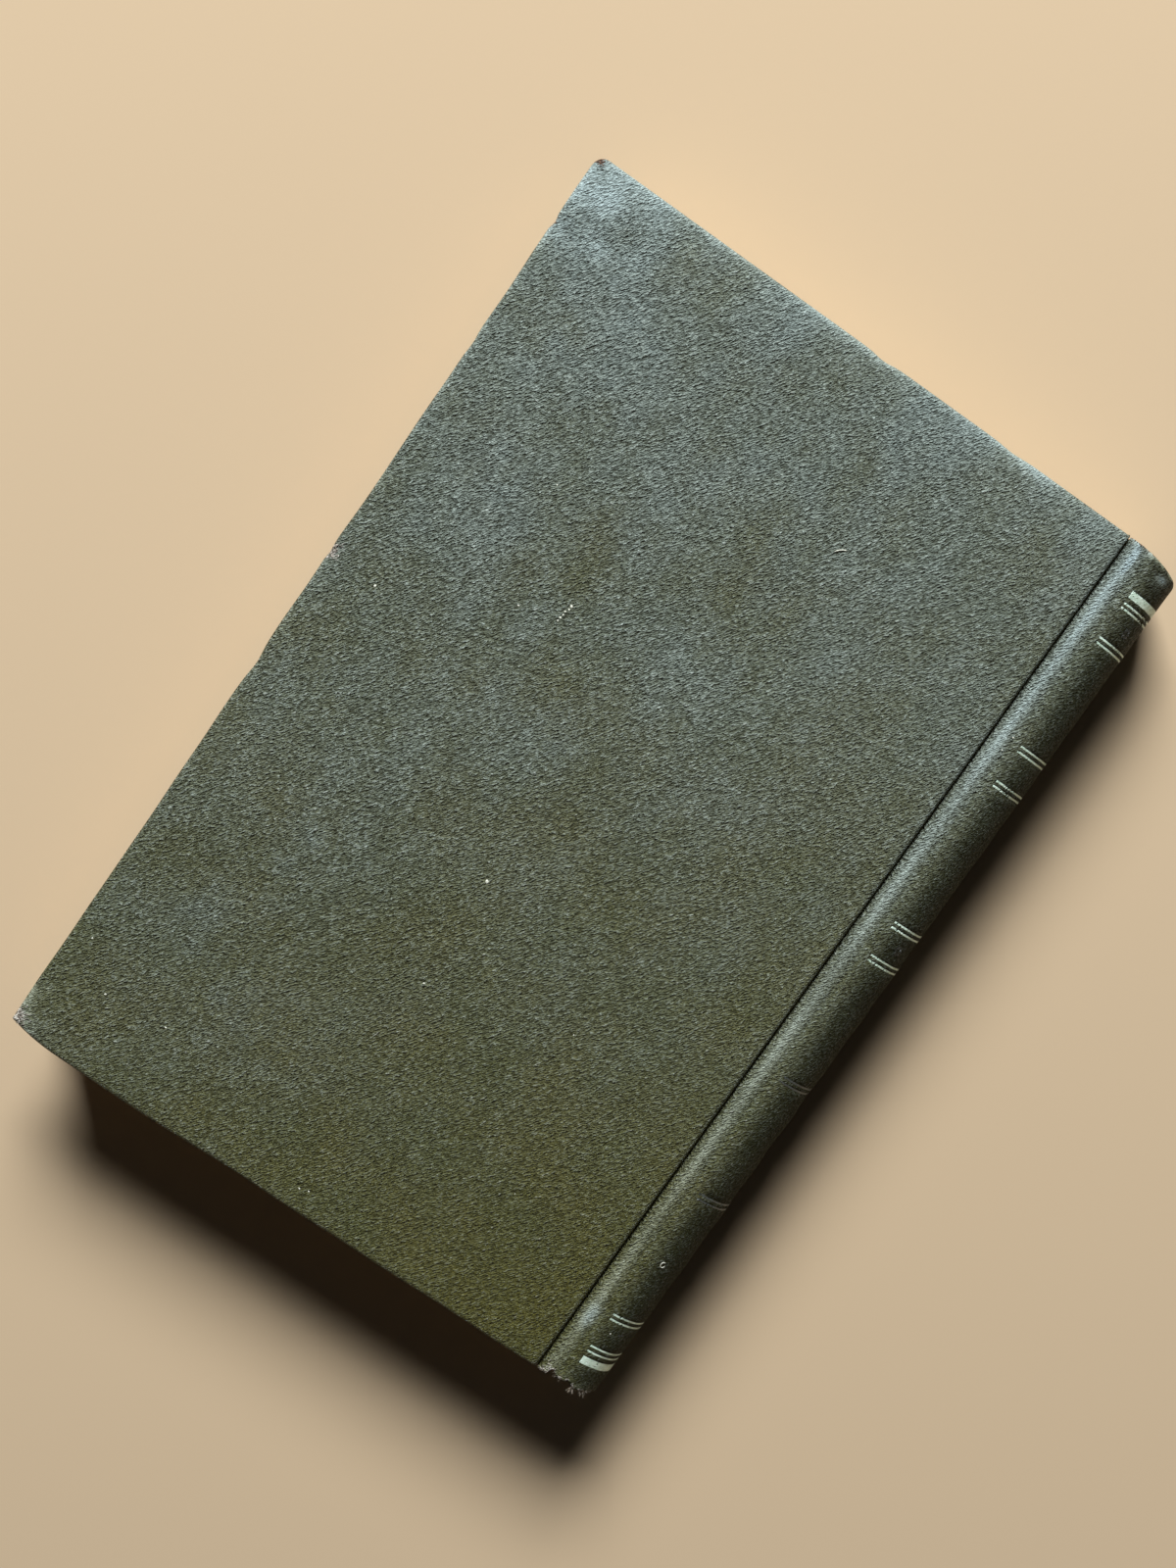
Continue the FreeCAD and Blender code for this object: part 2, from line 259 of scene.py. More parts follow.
def graded(low, high, step, fine, margin):
    """Places from low to high, close together near both ends."""
    near = np.arange(0.0, margin, fine)
    count = max(2, int(round((high - low - 2 * margin) / step)) + 1)
    far = np.linspace(low + margin, high - margin, count)
    return np.concatenate([low + near, far, high - near[::-1]])


# Meshes

def new_piece(name, points, faces, material, flip=False):
    """A smooth-shaded piece from points in millimetres and faces as lists of point numbers."""
    mesh = bpy.data.meshes.new(name)
    if flip:
        faces = [tuple(reversed(face)) for face in faces]
    mesh.from_pydata((np.asarray(points) * MM).tolist(), [], [tuple(map(int, face)) for face in faces])
    mesh.polygons.foreach_set("use_smooth", [True] * len(mesh.polygons))
    mesh.materials.append(material)
    piece = bpy.data.objects.new(name, mesh)
    bpy.context.scene.collection.objects.link(piece)
    return piece


def grid_faces(rows, columns, start=0):
    """Faces of a grid of points that are numbered row by row."""
    corner = start + (np.arange(rows - 1)[:, None] * columns + np.arange(columns - 1)[None, :]).ravel()
    return np.stack([corner, corner + 1, corner + columns + 1, corner + columns], axis=1).tolist()


def tube_faces(rings, around):
    """Faces between rings of points along a tube, and its two ends."""
    faces = []
    for first in range(0, (rings - 1) * around, around):
        for step in range(around):
            a = first + step
            b = first + (step + 1) % around
            faces.append((a, b, b + around, a + around))
    faces.append(tuple(reversed(range(around))))
    faces.append(tuple(range((rings - 1) * around, rings * around)))
    return faces


def add_values(piece, **fields):
    """Gives each point of the piece its own value in every named field."""
    for name, values in fields.items():
        attribute = piece.data.attributes.new(name, "FLOAT", "POINT")
        attribute.data.foreach_set("value", np.asarray(values, np.float32))


def apply_modifiers(piece):
    """The piece's mesh with its modifiers in it, and none left on it."""
    bpy.context.view_layer.update()
    made = piece.evaluated_get(bpy.context.evaluated_depsgraph_get())
    mesh = bpy.data.meshes.new_from_object(made, preserve_all_data_layers=True,
                                           depsgraph=bpy.context.evaluated_depsgraph_get())
    piece.modifiers.clear()
    piece.data = mesh
    return piece


def thicken(piece, thickness):
    """Gives an open surface a wall on its inner side and closes its edges."""
    wall = piece.modifiers.new("wall", "SOLIDIFY")
    wall.thickness = thickness * MM
    wall.offset = -1.0
    wall.use_even_offset = False
    return apply_modifiers(piece)


def edit_mesh(piece, change):
    """The piece after change, which is a function that edits its mesh as a bmesh."""
    work = bmesh.new()
    work.from_mesh(piece.data)
    change(work)
    work.to_mesh(piece.data)
    work.free()
    return piece


def merge_doubles(piece):
    def merge(work):
        bmesh.ops.remove_doubles(work, verts=work.verts, dist=MERGE_WITHIN * MM)
    return edit_mesh(piece, merge)


def face_outwards(piece):
    def turn(work):
        bmesh.ops.recalc_face_normals(work, faces=work.faces)
    return edit_mesh(piece, turn)


def drop_loose_points(piece):
    def drop(work):
        loose = [vertex for vertex in work.verts if not vertex.link_faces]
        bmesh.ops.delete(work, geom=loose, context="VERTS")
    return edit_mesh(piece, drop)


def to_lower(points):
    """Places of the upper cover turned over to the lower one."""
    turned = np.array(points, float)
    turned[:, 2] = TOP_Z - turned[:, 2]
    return turned


# Copies of one shape, placed by geometry nodes

def copies_tree():
    """Puts a copy of the input shape on each point, turned and sized by the point's own values."""
    tree = bpy.data.node_groups.new("placed_copies", "GeometryNodeTree")
    sockets = tree.interface
    sockets.new_socket("Geometry", in_out="INPUT", socket_type="NodeSocketGeometry")
    sockets.new_socket("Shape", in_out="INPUT", socket_type="NodeSocketObject")
    sockets.new_socket("Size", in_out="INPUT", socket_type="NodeSocketFloat")
    sockets.new_socket("Finish", in_out="INPUT", socket_type="NodeSocketMaterial")
    sockets.new_socket("Geometry", in_out="OUTPUT", socket_type="NodeSocketGeometry")
    nodes = tree.nodes
    given = nodes.new("NodeGroupInput")
    result = nodes.new("NodeGroupOutput")
    shape = nodes.new("GeometryNodeObjectInfo")
    turn = nodes.new("GeometryNodeInputNamedAttribute")
    turn.data_type = "FLOAT_VECTOR"
    turn.inputs["Name"].default_value = "turn"
    size = nodes.new("GeometryNodeInputNamedAttribute")
    size.data_type = "FLOAT_VECTOR"
    size.inputs["Name"].default_value = "size"
    scaled = nodes.new("ShaderNodeVectorMath")
    scaled.operation = "SCALE"
    euler = nodes.new("FunctionNodeEulerToRotation")
    copies = nodes.new("GeometryNodeInstanceOnPoints")
    real = nodes.new("GeometryNodeRealizeInstances")
    finish = nodes.new("GeometryNodeSetMaterial")
    links = tree.links
    links.new(given.outputs["Shape"], shape.inputs["Object"])
    links.new(given.outputs["Geometry"], copies.inputs["Points"])
    links.new(shape.outputs["Geometry"], copies.inputs["Instance"])
    links.new(turn.outputs["Attribute"], euler.inputs["Euler"])
    links.new(euler.outputs["Rotation"], copies.inputs["Rotation"])
    links.new(size.outputs["Attribute"], scaled.inputs[0])
    links.new(given.outputs["Size"], scaled.inputs["Scale"])
    links.new(scaled.outputs["Vector"], copies.inputs["Scale"])
    links.new(copies.outputs["Instances"], real.inputs["Geometry"])
    links.new(real.outputs["Geometry"], finish.inputs["Geometry"])
    links.new(given.outputs["Finish"], finish.inputs["Material"])
    links.new(finish.outputs["Geometry"], result.inputs["Geometry"])
    return tree


def place_copies(name, shape, places, turns, sizes, material):
    """One plain mesh of copies of shape, which is used up. Turns are in radians, sizes are shares."""
    carrier_mesh = bpy.data.meshes.new(name + "_points")
    carrier_mesh.from_pydata((np.asarray(places) * MM).tolist(), [], [])
    for label, values in (("turn", turns), ("size", sizes)):
        attribute = carrier_mesh.attributes.new(label, "FLOAT_VECTOR", "POINT")
        attribute.data.foreach_set("vector", np.asarray(values, np.float32).ravel())
    piece = bpy.data.objects.new(name, carrier_mesh)
    bpy.context.scene.collection.objects.link(piece)
    modifier = piece.modifiers.new("copies", "NODES")
    modifier.node_group = COPIES
    values = {"Shape": shape, "Size": 1.0, "Finish": material}
    for item in COPIES.interface.items_tree:
        if item.in_out == "INPUT" and item.name in values:
            modifier[item.identifier] = values[item.name]
    apply_modifiers(piece)
    bpy.data.objects.remove(shape)
    piece.data.polygons.foreach_set("use_smooth", [True] * len(piece.data.polygons))
    return piece


# Finishes

class Finish:
    """A material with short calls for the nodes that it is built from."""

    def __init__(self, name, roughness=0.6, metallic=0.0, specular=0.5):
        self.material = bpy.data.materials.new(name)
        self.material.use_nodes = True
        self.tree = self.material.node_tree
        self.shader = self.tree.nodes["Principled BSDF"]
        self.shader.inputs["Roughness"].default_value = roughness
        self.shader.inputs["Metallic"].default_value = metallic
        self.shader.inputs["Specular IOR Level"].default_value = specular
        self.place = self.add("ShaderNodeTexCoord").outputs["Object"]

    def add(self, kind, **settings):
        made = self.tree.nodes.new(kind)
        for setting, value in settings.items():
            setattr(made, setting, value)
        return made

    def feed(self, socket, value):
        if isinstance(value, bpy.types.NodeSocket):
            self.tree.links.new(value, socket)
        else:
            socket.default_value = value

    def stretched(self, scale, turn=0.0):
        """Places in millimetres, turned about Z and stretched by a scale for each axis."""
        turned = self.add("ShaderNodeMapping")
        self.feed(turned.inputs["Vector"], self.place)
        turned.inputs["Rotation"].default_value = (0.0, 0.0, math.radians(turn))
        turned.inputs["Scale"].default_value = (1 / MM, 1 / MM, 1 / MM)
        pulled = self.add("ShaderNodeMapping")
        self.feed(pulled.inputs["Vector"], turned.outputs["Vector"])
        pulled.inputs["Scale"].default_value = scale
        return pulled.outputs["Vector"]

    def millimetres(self, turn=0.0):
        return self.stretched((1.0, 1.0, 1.0), turn)

    def along_book(self):
        """Place along the book, from the tail's minus to the head's plus, in metres."""
        split = self.add("ShaderNodeSeparateXYZ")
        self.feed(split.inputs[0], self.place)
        return split.outputs["Y"]

    def noise(self, vector, scale, detail=2.0, rough=0.5, distortion=0.0):
        made = self.add("ShaderNodeTexNoise")
        self.feed(made.inputs["Vector"], vector)
        made.inputs["Scale"].default_value = scale
        made.inputs["Detail"].default_value = detail
        made.inputs["Roughness"].default_value = rough
        made.inputs["Distortion"].default_value = distortion
        return made.outputs["Fac"]

    def cells(self, vector, scale, smoothness=0.6):
        made = self.add("ShaderNodeTexVoronoi", feature="SMOOTH_F1")
        self.feed(made.inputs["Vector"], vector)
        made.inputs["Scale"].default_value = scale
        made.inputs["Smoothness"].default_value = smoothness
        return made.outputs["Distance"]

    def lines(self, vector, scale, direction="Y", distortion=1.0):
        made = self.add("ShaderNodeTexWave", bands_direction=direction)
        self.feed(made.inputs["Vector"], vector)
        made.inputs["Scale"].default_value = scale
        made.inputs["Distortion"].default_value = distortion
        made.inputs["Detail"].default_value = 2.0
        return made.outputs["Fac"]

    def value(self, name):
        """The piece's own value of that name at each point."""
        made = self.add("ShaderNodeAttribute", attribute_type="GEOMETRY", attribute_name=name)
        return made.outputs["Fac"]

    def span(self, value, low, high, to_low=0.0, to_high=1.0):
        made = self.add("ShaderNodeMapRange", clamp=True)
        self.feed(made.inputs["Value"], value)
        made.inputs["From Min"].default_value = low
        made.inputs["From Max"].default_value = high
        made.inputs["To Min"].default_value = to_low
        made.inputs["To Max"].default_value = to_high
        return made.outputs["Result"]

    def sum(self, first, second, operation="ADD"):
        made = self.add("ShaderNodeMath", operation=operation)
        self.feed(made.inputs[0], first)
        self.feed(made.inputs[1], second)
        return made.outputs[0]

    def product(self, first, second):
        return self.sum(first, second, "MULTIPLY")

    def mixed(self, share, first, second):
        made = self.add("ShaderNodeMix", data_type="RGBA")
        self.feed(made.inputs[0], share)
        self.feed(made.inputs[6], first)
        self.feed(made.inputs[7], second)
        return made.outputs[2]

    def bump(self, height, depth):
        """Relief of a height field from 0 to 1, with its depth in millimetres."""
        made = self.add("ShaderNodeBump")
        self.feed(made.inputs["Height"], height)
        made.inputs["Strength"].default_value = 1.0
        made.inputs["Distance"].default_value = depth * MM
        self.feed(self.shader.inputs["Normal"], made.outputs["Normal"])

    def colour(self, value):
        self.feed(self.shader.inputs["Base Color"], value)

    def rough(self, value):
        self.feed(self.shader.inputs["Roughness"], value)


def leather_grain(finish):
    """Height of the covering's grain: short wavy ridges across the book, and fine thread lines."""
    along = finish.stretched(RIDGE_STRETCH, turn=GRAIN_TURN)
    ridges = finish.noise(along, GRAIN_SCALE, detail=1.5, rough=0.5, distortion=0.35)
    pebbles = finish.cells(finish.stretched(PEBBLE_STRETCH, turn=GRAIN_TURN), GRAIN_SCALE)
    fine = finish.noise(finish.millimetres(), 5.0, detail=1.0)
    height = finish.sum(finish.span(ridges, 0.32, 0.68), finish.product(pebbles, 0.3))
    return finish.sum(height, finish.product(fine, 0.15))


def make_leather():
    finish = Finish("olive_leather")
    millimetres = finish.millimetres()
    grain = leather_grain(finish)
    tone = finish.noise(millimetres, 0.045, detail=3.0, rough=0.55)
    green = finish.mixed(finish.span(tone, 0.36, 0.64), paint(92, 88, 33), paint(85, 85, 36))
    cloud = finish.noise(finish.millimetres(turn=20.0), 0.05, detail=5.0, rough=0.62)
    # Sheen share: a painted grey-blue reflection of the light over the leather's colour, with its scuffs
    # and polish.
    hazed = finish.product(finish.value("haze"), finish.span(cloud, 0.35, 0.62, 0.75, 1.0))
    # Painted shade: the spine's round darker where it turns away from the light.
    soiled = finish.mixed(finish.value("soil"), green, paint(26, 30, 24))
    sheened = finish.mixed(hazed, soiled, paint(134, 148, 145))
    # Painted shade in the grain's valleys: darker where the grain is low.
    crease_shaded = finish.mixed(finish.span(grain, 0.1, 0.7), paint(40, 40, 20), sheened)
    # Painted highlight on the grain's ridges, paler where the sheen is strong.
    ridge_highlight = finish.product(finish.span(grain, 0.75, 1.15), finish.sum(finish.product(hazed, 1.2), 0.22))
    ridge_highlighted = finish.mixed(ridge_highlight, crease_shaded, paint(150, 162, 154))
    # The rub value marks rubbed wear and, in places, painted sheen and highlight.
    worn_smooth = finish.product(finish.value("rub"), 0.7)
    rub_share = finish.sum(finish.span(grain, 0.3, 1.0, 0.15, 1.0), worn_smooth)
    rub = finish.product(finish.value("rub"), rub_share)
    # Rubbed colour: pale olive wear that turns to a painted grey-blue sheen where the sheen value is high.
    worn = finish.mixed(finish.value("haze"), paint(146, 150, 124), paint(164, 183, 185))
    rubbed = finish.mixed(rub, ridge_highlighted, worn)
    frayed = finish.sum(finish.value("bare"), finish.product(finish.sum(grain, -0.6), 0.7))
    bare = finish.span(frayed, 0.42, 0.62)
    strands = finish.noise(millimetres, 2.6, detail=3.0, rough=0.7)
    at_head = finish.span(finish.along_book(), -0.01, 0.1)
    deep = finish.mixed(at_head, paint(70, 56, 44), paint(48, 34, 27))
    thread = finish.mixed(at_head, paint(206, 202, 192), paint(104, 80, 66))
    under = finish.mixed(finish.span(strands, 0.42, 0.56), deep, thread)
    finish.colour(finish.mixed(bare, rubbed, under))
    # Less specular where the painted shade is.
    sheen = finish.span(finish.value("soil"), 0.0, 0.7, 0.22, 0.03)
    finish.feed(finish.shader.inputs["Specular IOR Level"], sheen)
    finish.shader.inputs["Specular Tint"].default_value = (0.78, 0.92, 1.0, 1.0)
    matt = finish.span(grain, 0.3, 1.1, 0.5, 0.28)
    finish.rough(finish.sum(matt, finish.product(rub, -0.12)))
    relief = finish.span(finish.value("rub"), 0.04, 0.55, 1.0, 0.35)
    finish.bump(finish.product(grain, relief), GRAIN_DEPTH)
    return finish.material


def make_foil(name, bright, dull, worn):
    """Stamped foil, with the grain showing through and pin holes where it has gone."""
    finish = Finish(name, metallic=0.2, specular=0.8)
    millimetres = finish.millimetres()
    grain = leather_grain(finish)
    patches = finish.noise(millimetres, 0.9, detail=3.0, rough=0.6)
    shade = finish.mixed(finish.span(patches, 0.35, 0.65), paint(*bright), paint(*dull))
    gone = finish.sum(finish.product(finish.noise(millimetres, 3.4, detail=2.0), 0.7),
                      finish.product(patches, 0.45))
    holes = finish.span(gone, worn, worn + 0.05)
    finish.colour(finish.mixed(holes, shade, paint(44, 48, 34)))
    finish.rough(finish.span(gone, worn, worn + 0.05, 0.36, 0.6))
    finish.bump(grain, 0.06)
    return finish.material


def make_page_edges():
    """Aged page edges: fine lines that follow each leaf, from the piece's own map."""
    finish = Finish("page_edges", roughness=0.85, specular=0.25)
    leaf_map = finish.add("ShaderNodeUVMap", uv_map="leaves").outputs["UV"]
    stretch = finish.add("ShaderNodeMapping")
    finish.feed(stretch.inputs["Vector"], leaf_map)
    stretch.inputs["Scale"].default_value = (1.5, 150.0, 1.0)
    leaves = finish.noise(stretch.outputs["Vector"], 1.0, detail=3.0, rough=0.65)
    broad = finish.noise(finish.millimetres(), 0.05, detail=4.0)
    paper = finish.mixed(finish.span(leaves, 0.38, 0.6), paint(150, 126, 88), paint(216, 200, 164))
    soiled = finish.product(finish.span(broad, 0.45, 0.7), 0.45)
    finish.colour(finish.mixed(soiled, paper, paint(158, 138, 104)))
    finish.bump(leaves, 0.08)
    return finish.material


def make_paper(name, light, dark):
    """Laid endpaper, browned in broad clouds, with small brown spots."""
    finish = Finish(name, roughness=0.8, specular=0.3)
    millimetres = finish.millimetres()
    clouds = finish.noise(millimetres, 0.03, detail=5.0, rough=0.6)
    fibres = finish.noise(finish.stretched((0.6, 2.4, 1.0)), 1.6, detail=4.0, rough=0.65)
    toned = finish.mixed(finish.span(clouds, 0.38, 0.66), paint(*light), paint(*dark))
    grained = finish.mixed(finish.span(fibres, 0.4, 0.62, 0.0, 0.16), toned, paint(140, 116, 82))
    spots = finish.noise(millimetres, 0.22, detail=2.0, rough=0.4)
    foxed = finish.span(spots, 0.7, 0.78, 0.0, 0.5)
    finish.colour(finish.mixed(foxed, grained, paint(134, 96, 58)))
    finish.bump(fibres, 0.03)
    return finish.material


def make_card(name, light, dark):
    """Grey-brown board in pressed layers."""
    finish = Finish(name, roughness=0.9, specular=0.2)
    layers = finish.noise(finish.stretched((0.25, 0.25, 5.0)), 1.2, detail=3.0, rough=0.6)
    flecks = finish.noise(finish.millimetres(), 2.2, detail=3.0, rough=0.7)
    base = finish.mixed(finish.span(layers, 0.38, 0.62), paint(*light), paint(*dark))
    finish.colour(finish.mixed(finish.span(flecks, 0.5, 0.7, 0.0, 0.35), base, paint(62, 50, 38)))
    finish.bump(layers, 0.08)
    return finish.material


def make_weave(name, light, dark, threads):
    """Plain woven cloth with that many threads to the millimetre."""
    finish = Finish(name, roughness=0.85, specular=0.25)
    place = finish.millimetres()
    along = finish.lines(place, threads / 2, "Y", 0.4)
    upright = finish.lines(place, threads / 2, "Z", 0.4)
    weave = finish.product(along, upright)
    finish.colour(finish.mixed(finish.span(weave, 0.1, 0.6), paint(*dark), paint(*light)))
    finish.bump(weave, 0.12)
    return finish.material


def make_thread(name, light, dark):
    """Twisted silk thread, with painted shade where it turns in."""
    finish = Finish(name, roughness=0.5, specular=0.4)
    twist = finish.lines(finish.millimetres(turn=35.0), 2.2, "X", 0.6)
    soil = finish.noise(finish.millimetres(), 0.5, detail=3.0)
    # The darker colour of the twist is painted shade in its grooves.
    base = finish.mixed(finish.span(twist, 0.2, 0.8), paint(*dark), paint(*light))
    finish.colour(finish.mixed(finish.span(soil, 0.45, 0.75, 0.0, 0.5), base, paint(88, 76, 56)))
    finish.bump(twist, 0.05)
    return finish.material


def make_speck():
    finish = Finish("pale_speck", roughness=0.7)
    spots = finish.noise(finish.millimetres(), 3.0, detail=2.0)
    finish.colour(finish.mixed(finish.span(spots, 0.35, 0.65), paint(232, 234, 222), paint(196, 198, 180)))
    return finish.material


def seen_rays(tree):
    """One for rays that show a background: the camera's own, mirrored ones and ones through glass."""
    rays = tree.nodes.new("ShaderNodeLightPath")
    share = rays.outputs["Is Camera Ray"]
    for kind in ("Is Glossy Ray", "Is Transmission Ray"):
        most = tree.nodes.new("ShaderNodeMath")
        most.operation = "MAXIMUM"
        tree.links.new(share, most.inputs[0])
        tree.links.new(rays.outputs[kind], most.inputs[1])
        share = most.outputs[0]
    return share


def make_floor():
    """Pale floor that runs into the backdrop away from the book."""
    finish = Finish("pale_floor", roughness=0.9, specular=0.1)
    finish.colour(paint(205, 182, 151))
    tree = finish.tree
    distance = finish.add("ShaderNodeVectorMath", operation="LENGTH")
    finish.feed(distance.inputs[0], finish.place)
    far = finish.span(distance.outputs["Value"], *FLOOR_FADE)
    glow = finish.add("ShaderNodeEmission")
    glow.inputs["Color"].default_value = paint(*BACKDROP)
    joined = finish.add("ShaderNodeMixShader")
    finish.feed(joined.inputs["Fac"], finish.product(far, seen_rays(tree)))
    finish.feed(joined.inputs[1], finish.shader.outputs["BSDF"])
    finish.feed(joined.inputs[2], glow.outputs["Emission"])
    finish.feed(tree.nodes["Material Output"].inputs["Surface"], joined.outputs["Shader"])
    return finish.material


COPIES = copies_tree()
LEATHER_FINISH = make_leather()
BRIGHT_FOIL = make_foil("silver_foil", (230, 254, 244), (192, 222, 206), 0.7)
FADED_FOIL = make_foil("faded_foil", (60, 75, 80), (34, 41, 44), 0.67)
PAGE_EDGES = make_page_edges()
END_PAPER = make_paper("end_paper", (224, 207, 172), (208, 189, 150))
LINING_PAPER = make_paper("lining_paper", (168, 142, 104), (148, 120, 84))
BOARD = make_card("board", (142, 124, 98), (118, 100, 76))
CARD = make_card("spine_card", (150, 132, 104), (124, 104, 78))
TAPE_LINEN = make_weave("tape_linen", (196, 184, 154), (150, 134, 104), 2.4)
MULL_CLOTH = make_weave("mull_cloth", (190, 176, 146), (120, 100, 72), 1.2)
BAND_GREEN = make_thread("band_green", (104, 106, 70), (64, 66, 42))
BAND_CREAM = make_thread("band_cream", (188, 178, 148), (140, 126, 96))
SPECK = make_speck()
FRAY = make_card("frayed_thread", (222, 216, 204), (150, 134, 112))


# Covers

def cover_places():
    """Columns across the cover, rolled down at the joint, and rows from tail to head."""
    flat_end = JOINT_X - JOINT_ROLL
    across = graded(FORE_X + EDGE_ROUND, flat_end, *FACE_STEPS)
    turns = np.radians([22.5, 45.0, 67.5, 90.0])
    roll_x = flat_end + JOINT_ROLL * np.sin(turns)
    roll_drop = JOINT_ROLL * (1 - np.cos(turns))
    wall = np.linspace(0, JOINT_WALL, 4)[1:]
    columns = np.concatenate([across, roll_x, np.full(3, JOINT_X)])
    drops = np.concatenate([np.zeros(len(across)), roll_drop, JOINT_ROLL + wall])
    rows = graded(TAIL_Y + EDGE_ROUND, HEAD_Y - EDGE_ROUND, *FACE_STEPS)
    return columns, drops, rows


def rim_profile():
    """Insets from the plan's edge and drops below the face, round the board's edge to the turn-in."""
    depth = TOP_Z - TURNED_Z
    turns = np.radians(np.linspace(0, 90, 6)[1:])
    over = [(EDGE_ROUND * (1 - math.sin(turn)), EDGE_ROUND * (1 - math.cos(turn))) for turn in turns]
    side = [(0.0, EDGE_ROUND + (depth - 2 * EDGE_ROUND) * share) for share in (0.5, 1.0)]
    under = [(EDGE_ROUND * (1 - math.cos(turn)), depth - EDGE_ROUND * (1 - math.sin(turn)))
             for turn in turns]
    inner = [(inset, depth) for inset in (2.0, 4.0, 7.0, 11.0, TURN_IN)]
    return over + side + under + inner


def wrapped_cover():
    """Points and faces of the covering's outside, before it is worn: face, rim and turned-in margin."""
    columns, drops, rows = cover_places()
    wide, long = len(columns), len(rows)
    grid_x, grid_y = np.meshgrid(columns, rows)
    face = np.stack([grid_x, grid_y, TOP_Z - np.tile(drops, (long, 1))], axis=-1).reshape(-1, 3)
    faces = grid_faces(long, wide)
    number = np.arange(wide * long).reshape(long, wide)
    chain = np.concatenate([number[0, ::-1], number[1:, 0], number[-1, 1:]])
    start = face[chain]
    share_x = (start[:, 0] - columns[0]) / (JOINT_X - columns[0])
    share_y = (start[:, 1] - rows[0]) / (rows[-1] - rows[0])
    chain_drop = TOP_Z - start[:, 2]
    depth = TOP_Z - TURNED_Z
    points = [face]
    before = chain
    first = len(face)
    for inset, drop in rim_profile():
        x = FORE_X + inset + share_x * (JOINT_X - FORE_X - inset)
        y = TAIL_Y + inset + share_y * (HEAD_Y - TAIL_Y - 2 * inset)
        z = TOP_Z - drop - chain_drop * (1 - drop / depth)
        points.append(np.stack([x, y, z], axis=-1))
        here = first + np.arange(len(chain))
        faces += np.stack([before[:-1], before[1:], here[1:], here[:-1]], axis=1).tolist()
        before = here
        first += len(chain)
    return np.concatenate(points), faces


def board_slab():
    """Points and faces of the board inside the covering, before it is worn."""
    gap = LEATHER
    columns = graded(FORE_X + gap, JOINT_X - gap, *SLAB_STEPS)
    rows = graded(TAIL_Y + gap, HEAD_Y - gap, *SLAB_STEPS)
    low = TURNED_Z + gap
    high = TOP_Z - gap
    grid_x, grid_y = np.meshgrid(columns, rows)
    sheets = [np.stack([grid_x, grid_y, np.full_like(grid_x, z)], axis=-1).reshape(-1, 3)
              for z in (high, low)]
    wide, long = len(columns), len(rows)
    count = wide * long
    faces = grid_faces(long, wide)
    faces += [tuple(reversed(face)) for face in grid_faces(long, wide, count)]
    number = np.arange(count).reshape(long, wide)
    loop = np.concatenate([number[0, ::-1], number[1:, 0], number[-1, 1:], number[-2:0:-1, -1]])
    after = np.roll(loop, -1)
    faces += np.stack([loop, after, after + count, loop + count], axis=1).tolist()
    return np.concatenate(sheets), faces


def round_corner(points, corner_x, corner_y, side_x, side_y, radius):
    """Draws the plan in to a quarter round at one corner. Sides are plus or minus one, outwards."""
    p = 1 + side_x * (points[:, 0] - corner_x) / radius
    q = 1 + side_y * (points[:, 1] - corner_y) / radius
    inside = (p > 0) & (q > 0)
    p_in, q_in = np.clip(p[inside], 0, 1), np.clip(q[inside], 0, 1)
    points[inside, 0] = corner_x + side_x * radius * (p_in * np.sqrt(1 - q_in ** 2 / 2) - 1)
    points[inside, 1] = corner_y + side_y * radius * (q_in * np.sqrt(1 - p_in ** 2 / 2) - 1)


def press_edges(points, upper):
    """Rubbed-down edges and the slight unevenness of an old board."""
    edge = np.minimum.reduce([points[:, 0] - FORE_X, points[:, 1] - TAIL_Y, HEAD_Y - points[:, 1]])
    height = np.clip((points[:, 2] - TURNED_Z) / (TOP_Z - TURNED_Z), 0, 1)
    points[:, 2] -= EDGE_DROOP * height * fade(edge, 1.6)
    if upper:
        sunk = 0.5 + 0.5 * ripple(points * [1, 1, 0], 62.0, 5)
        calm = smooth(edge / 12.0) * smooth((JOINT_X - points[:, 0]) / 8.0)
        points[:, 2] -= 0.1 * height * calm * np.clip(sunk, 0, 1)


def wear_upper(points):
    """The upper cover's own shape: a rubbed head corner, a knocked tail corner and dented edges."""
    press_edges(points, True)
    for middle, depth, reach in FORE_DENTS:
        near = np.exp(-((points[:, 1] - middle) / reach) ** 2 * 2)
        near *= fade(points[:, 0] - FORE_X, DENT_RUN)
        points[:, 0] += depth * near
    for middle, depth, reach in HEAD_DENTS:
        near = np.exp(-((points[:, 0] - middle) / reach) ** 2 * 2)
        near *= fade(HEAD_Y - points[:, 1], DENT_RUN)
        points[:, 1] -= depth * near
        points[:, 2] += 0.25 * near * (points[:, 2] > TURNED_Z + LEATHER)
    run = np.clip(1 - (points[:, 0] - FORE_X) / KNOCKED_RUN, 0, 1)
    away = fade(points[:, 1] - TAIL_Y, KNOCKED_REACH)
    points[:, 1] += KNOCKED_RISE * run ** 2 * away
    round_corner(points, FORE_X, HEAD_Y, -1, 1, CORNER)
    points[:, 1] += 0.12 * ripple(points * [1, 0, 0], 23.0, 8) * fade(points[:, 1] - TAIL_Y, 2.5)
    points[:, 0] += 0.08 * ripple(points * [0, 1, 0], 17.0, 9) * fade(points[:, 0] - FORE_X, 2.5)
    return points


def wear_lower(points):
    press_edges(points, False)
    round_corner(points, FORE_X, HEAD_Y, -1, 1, LOWER_CORNER)
    round_corner(points, FORE_X, TAIL_Y, -1, -1, LOWER_CORNER)
    return points


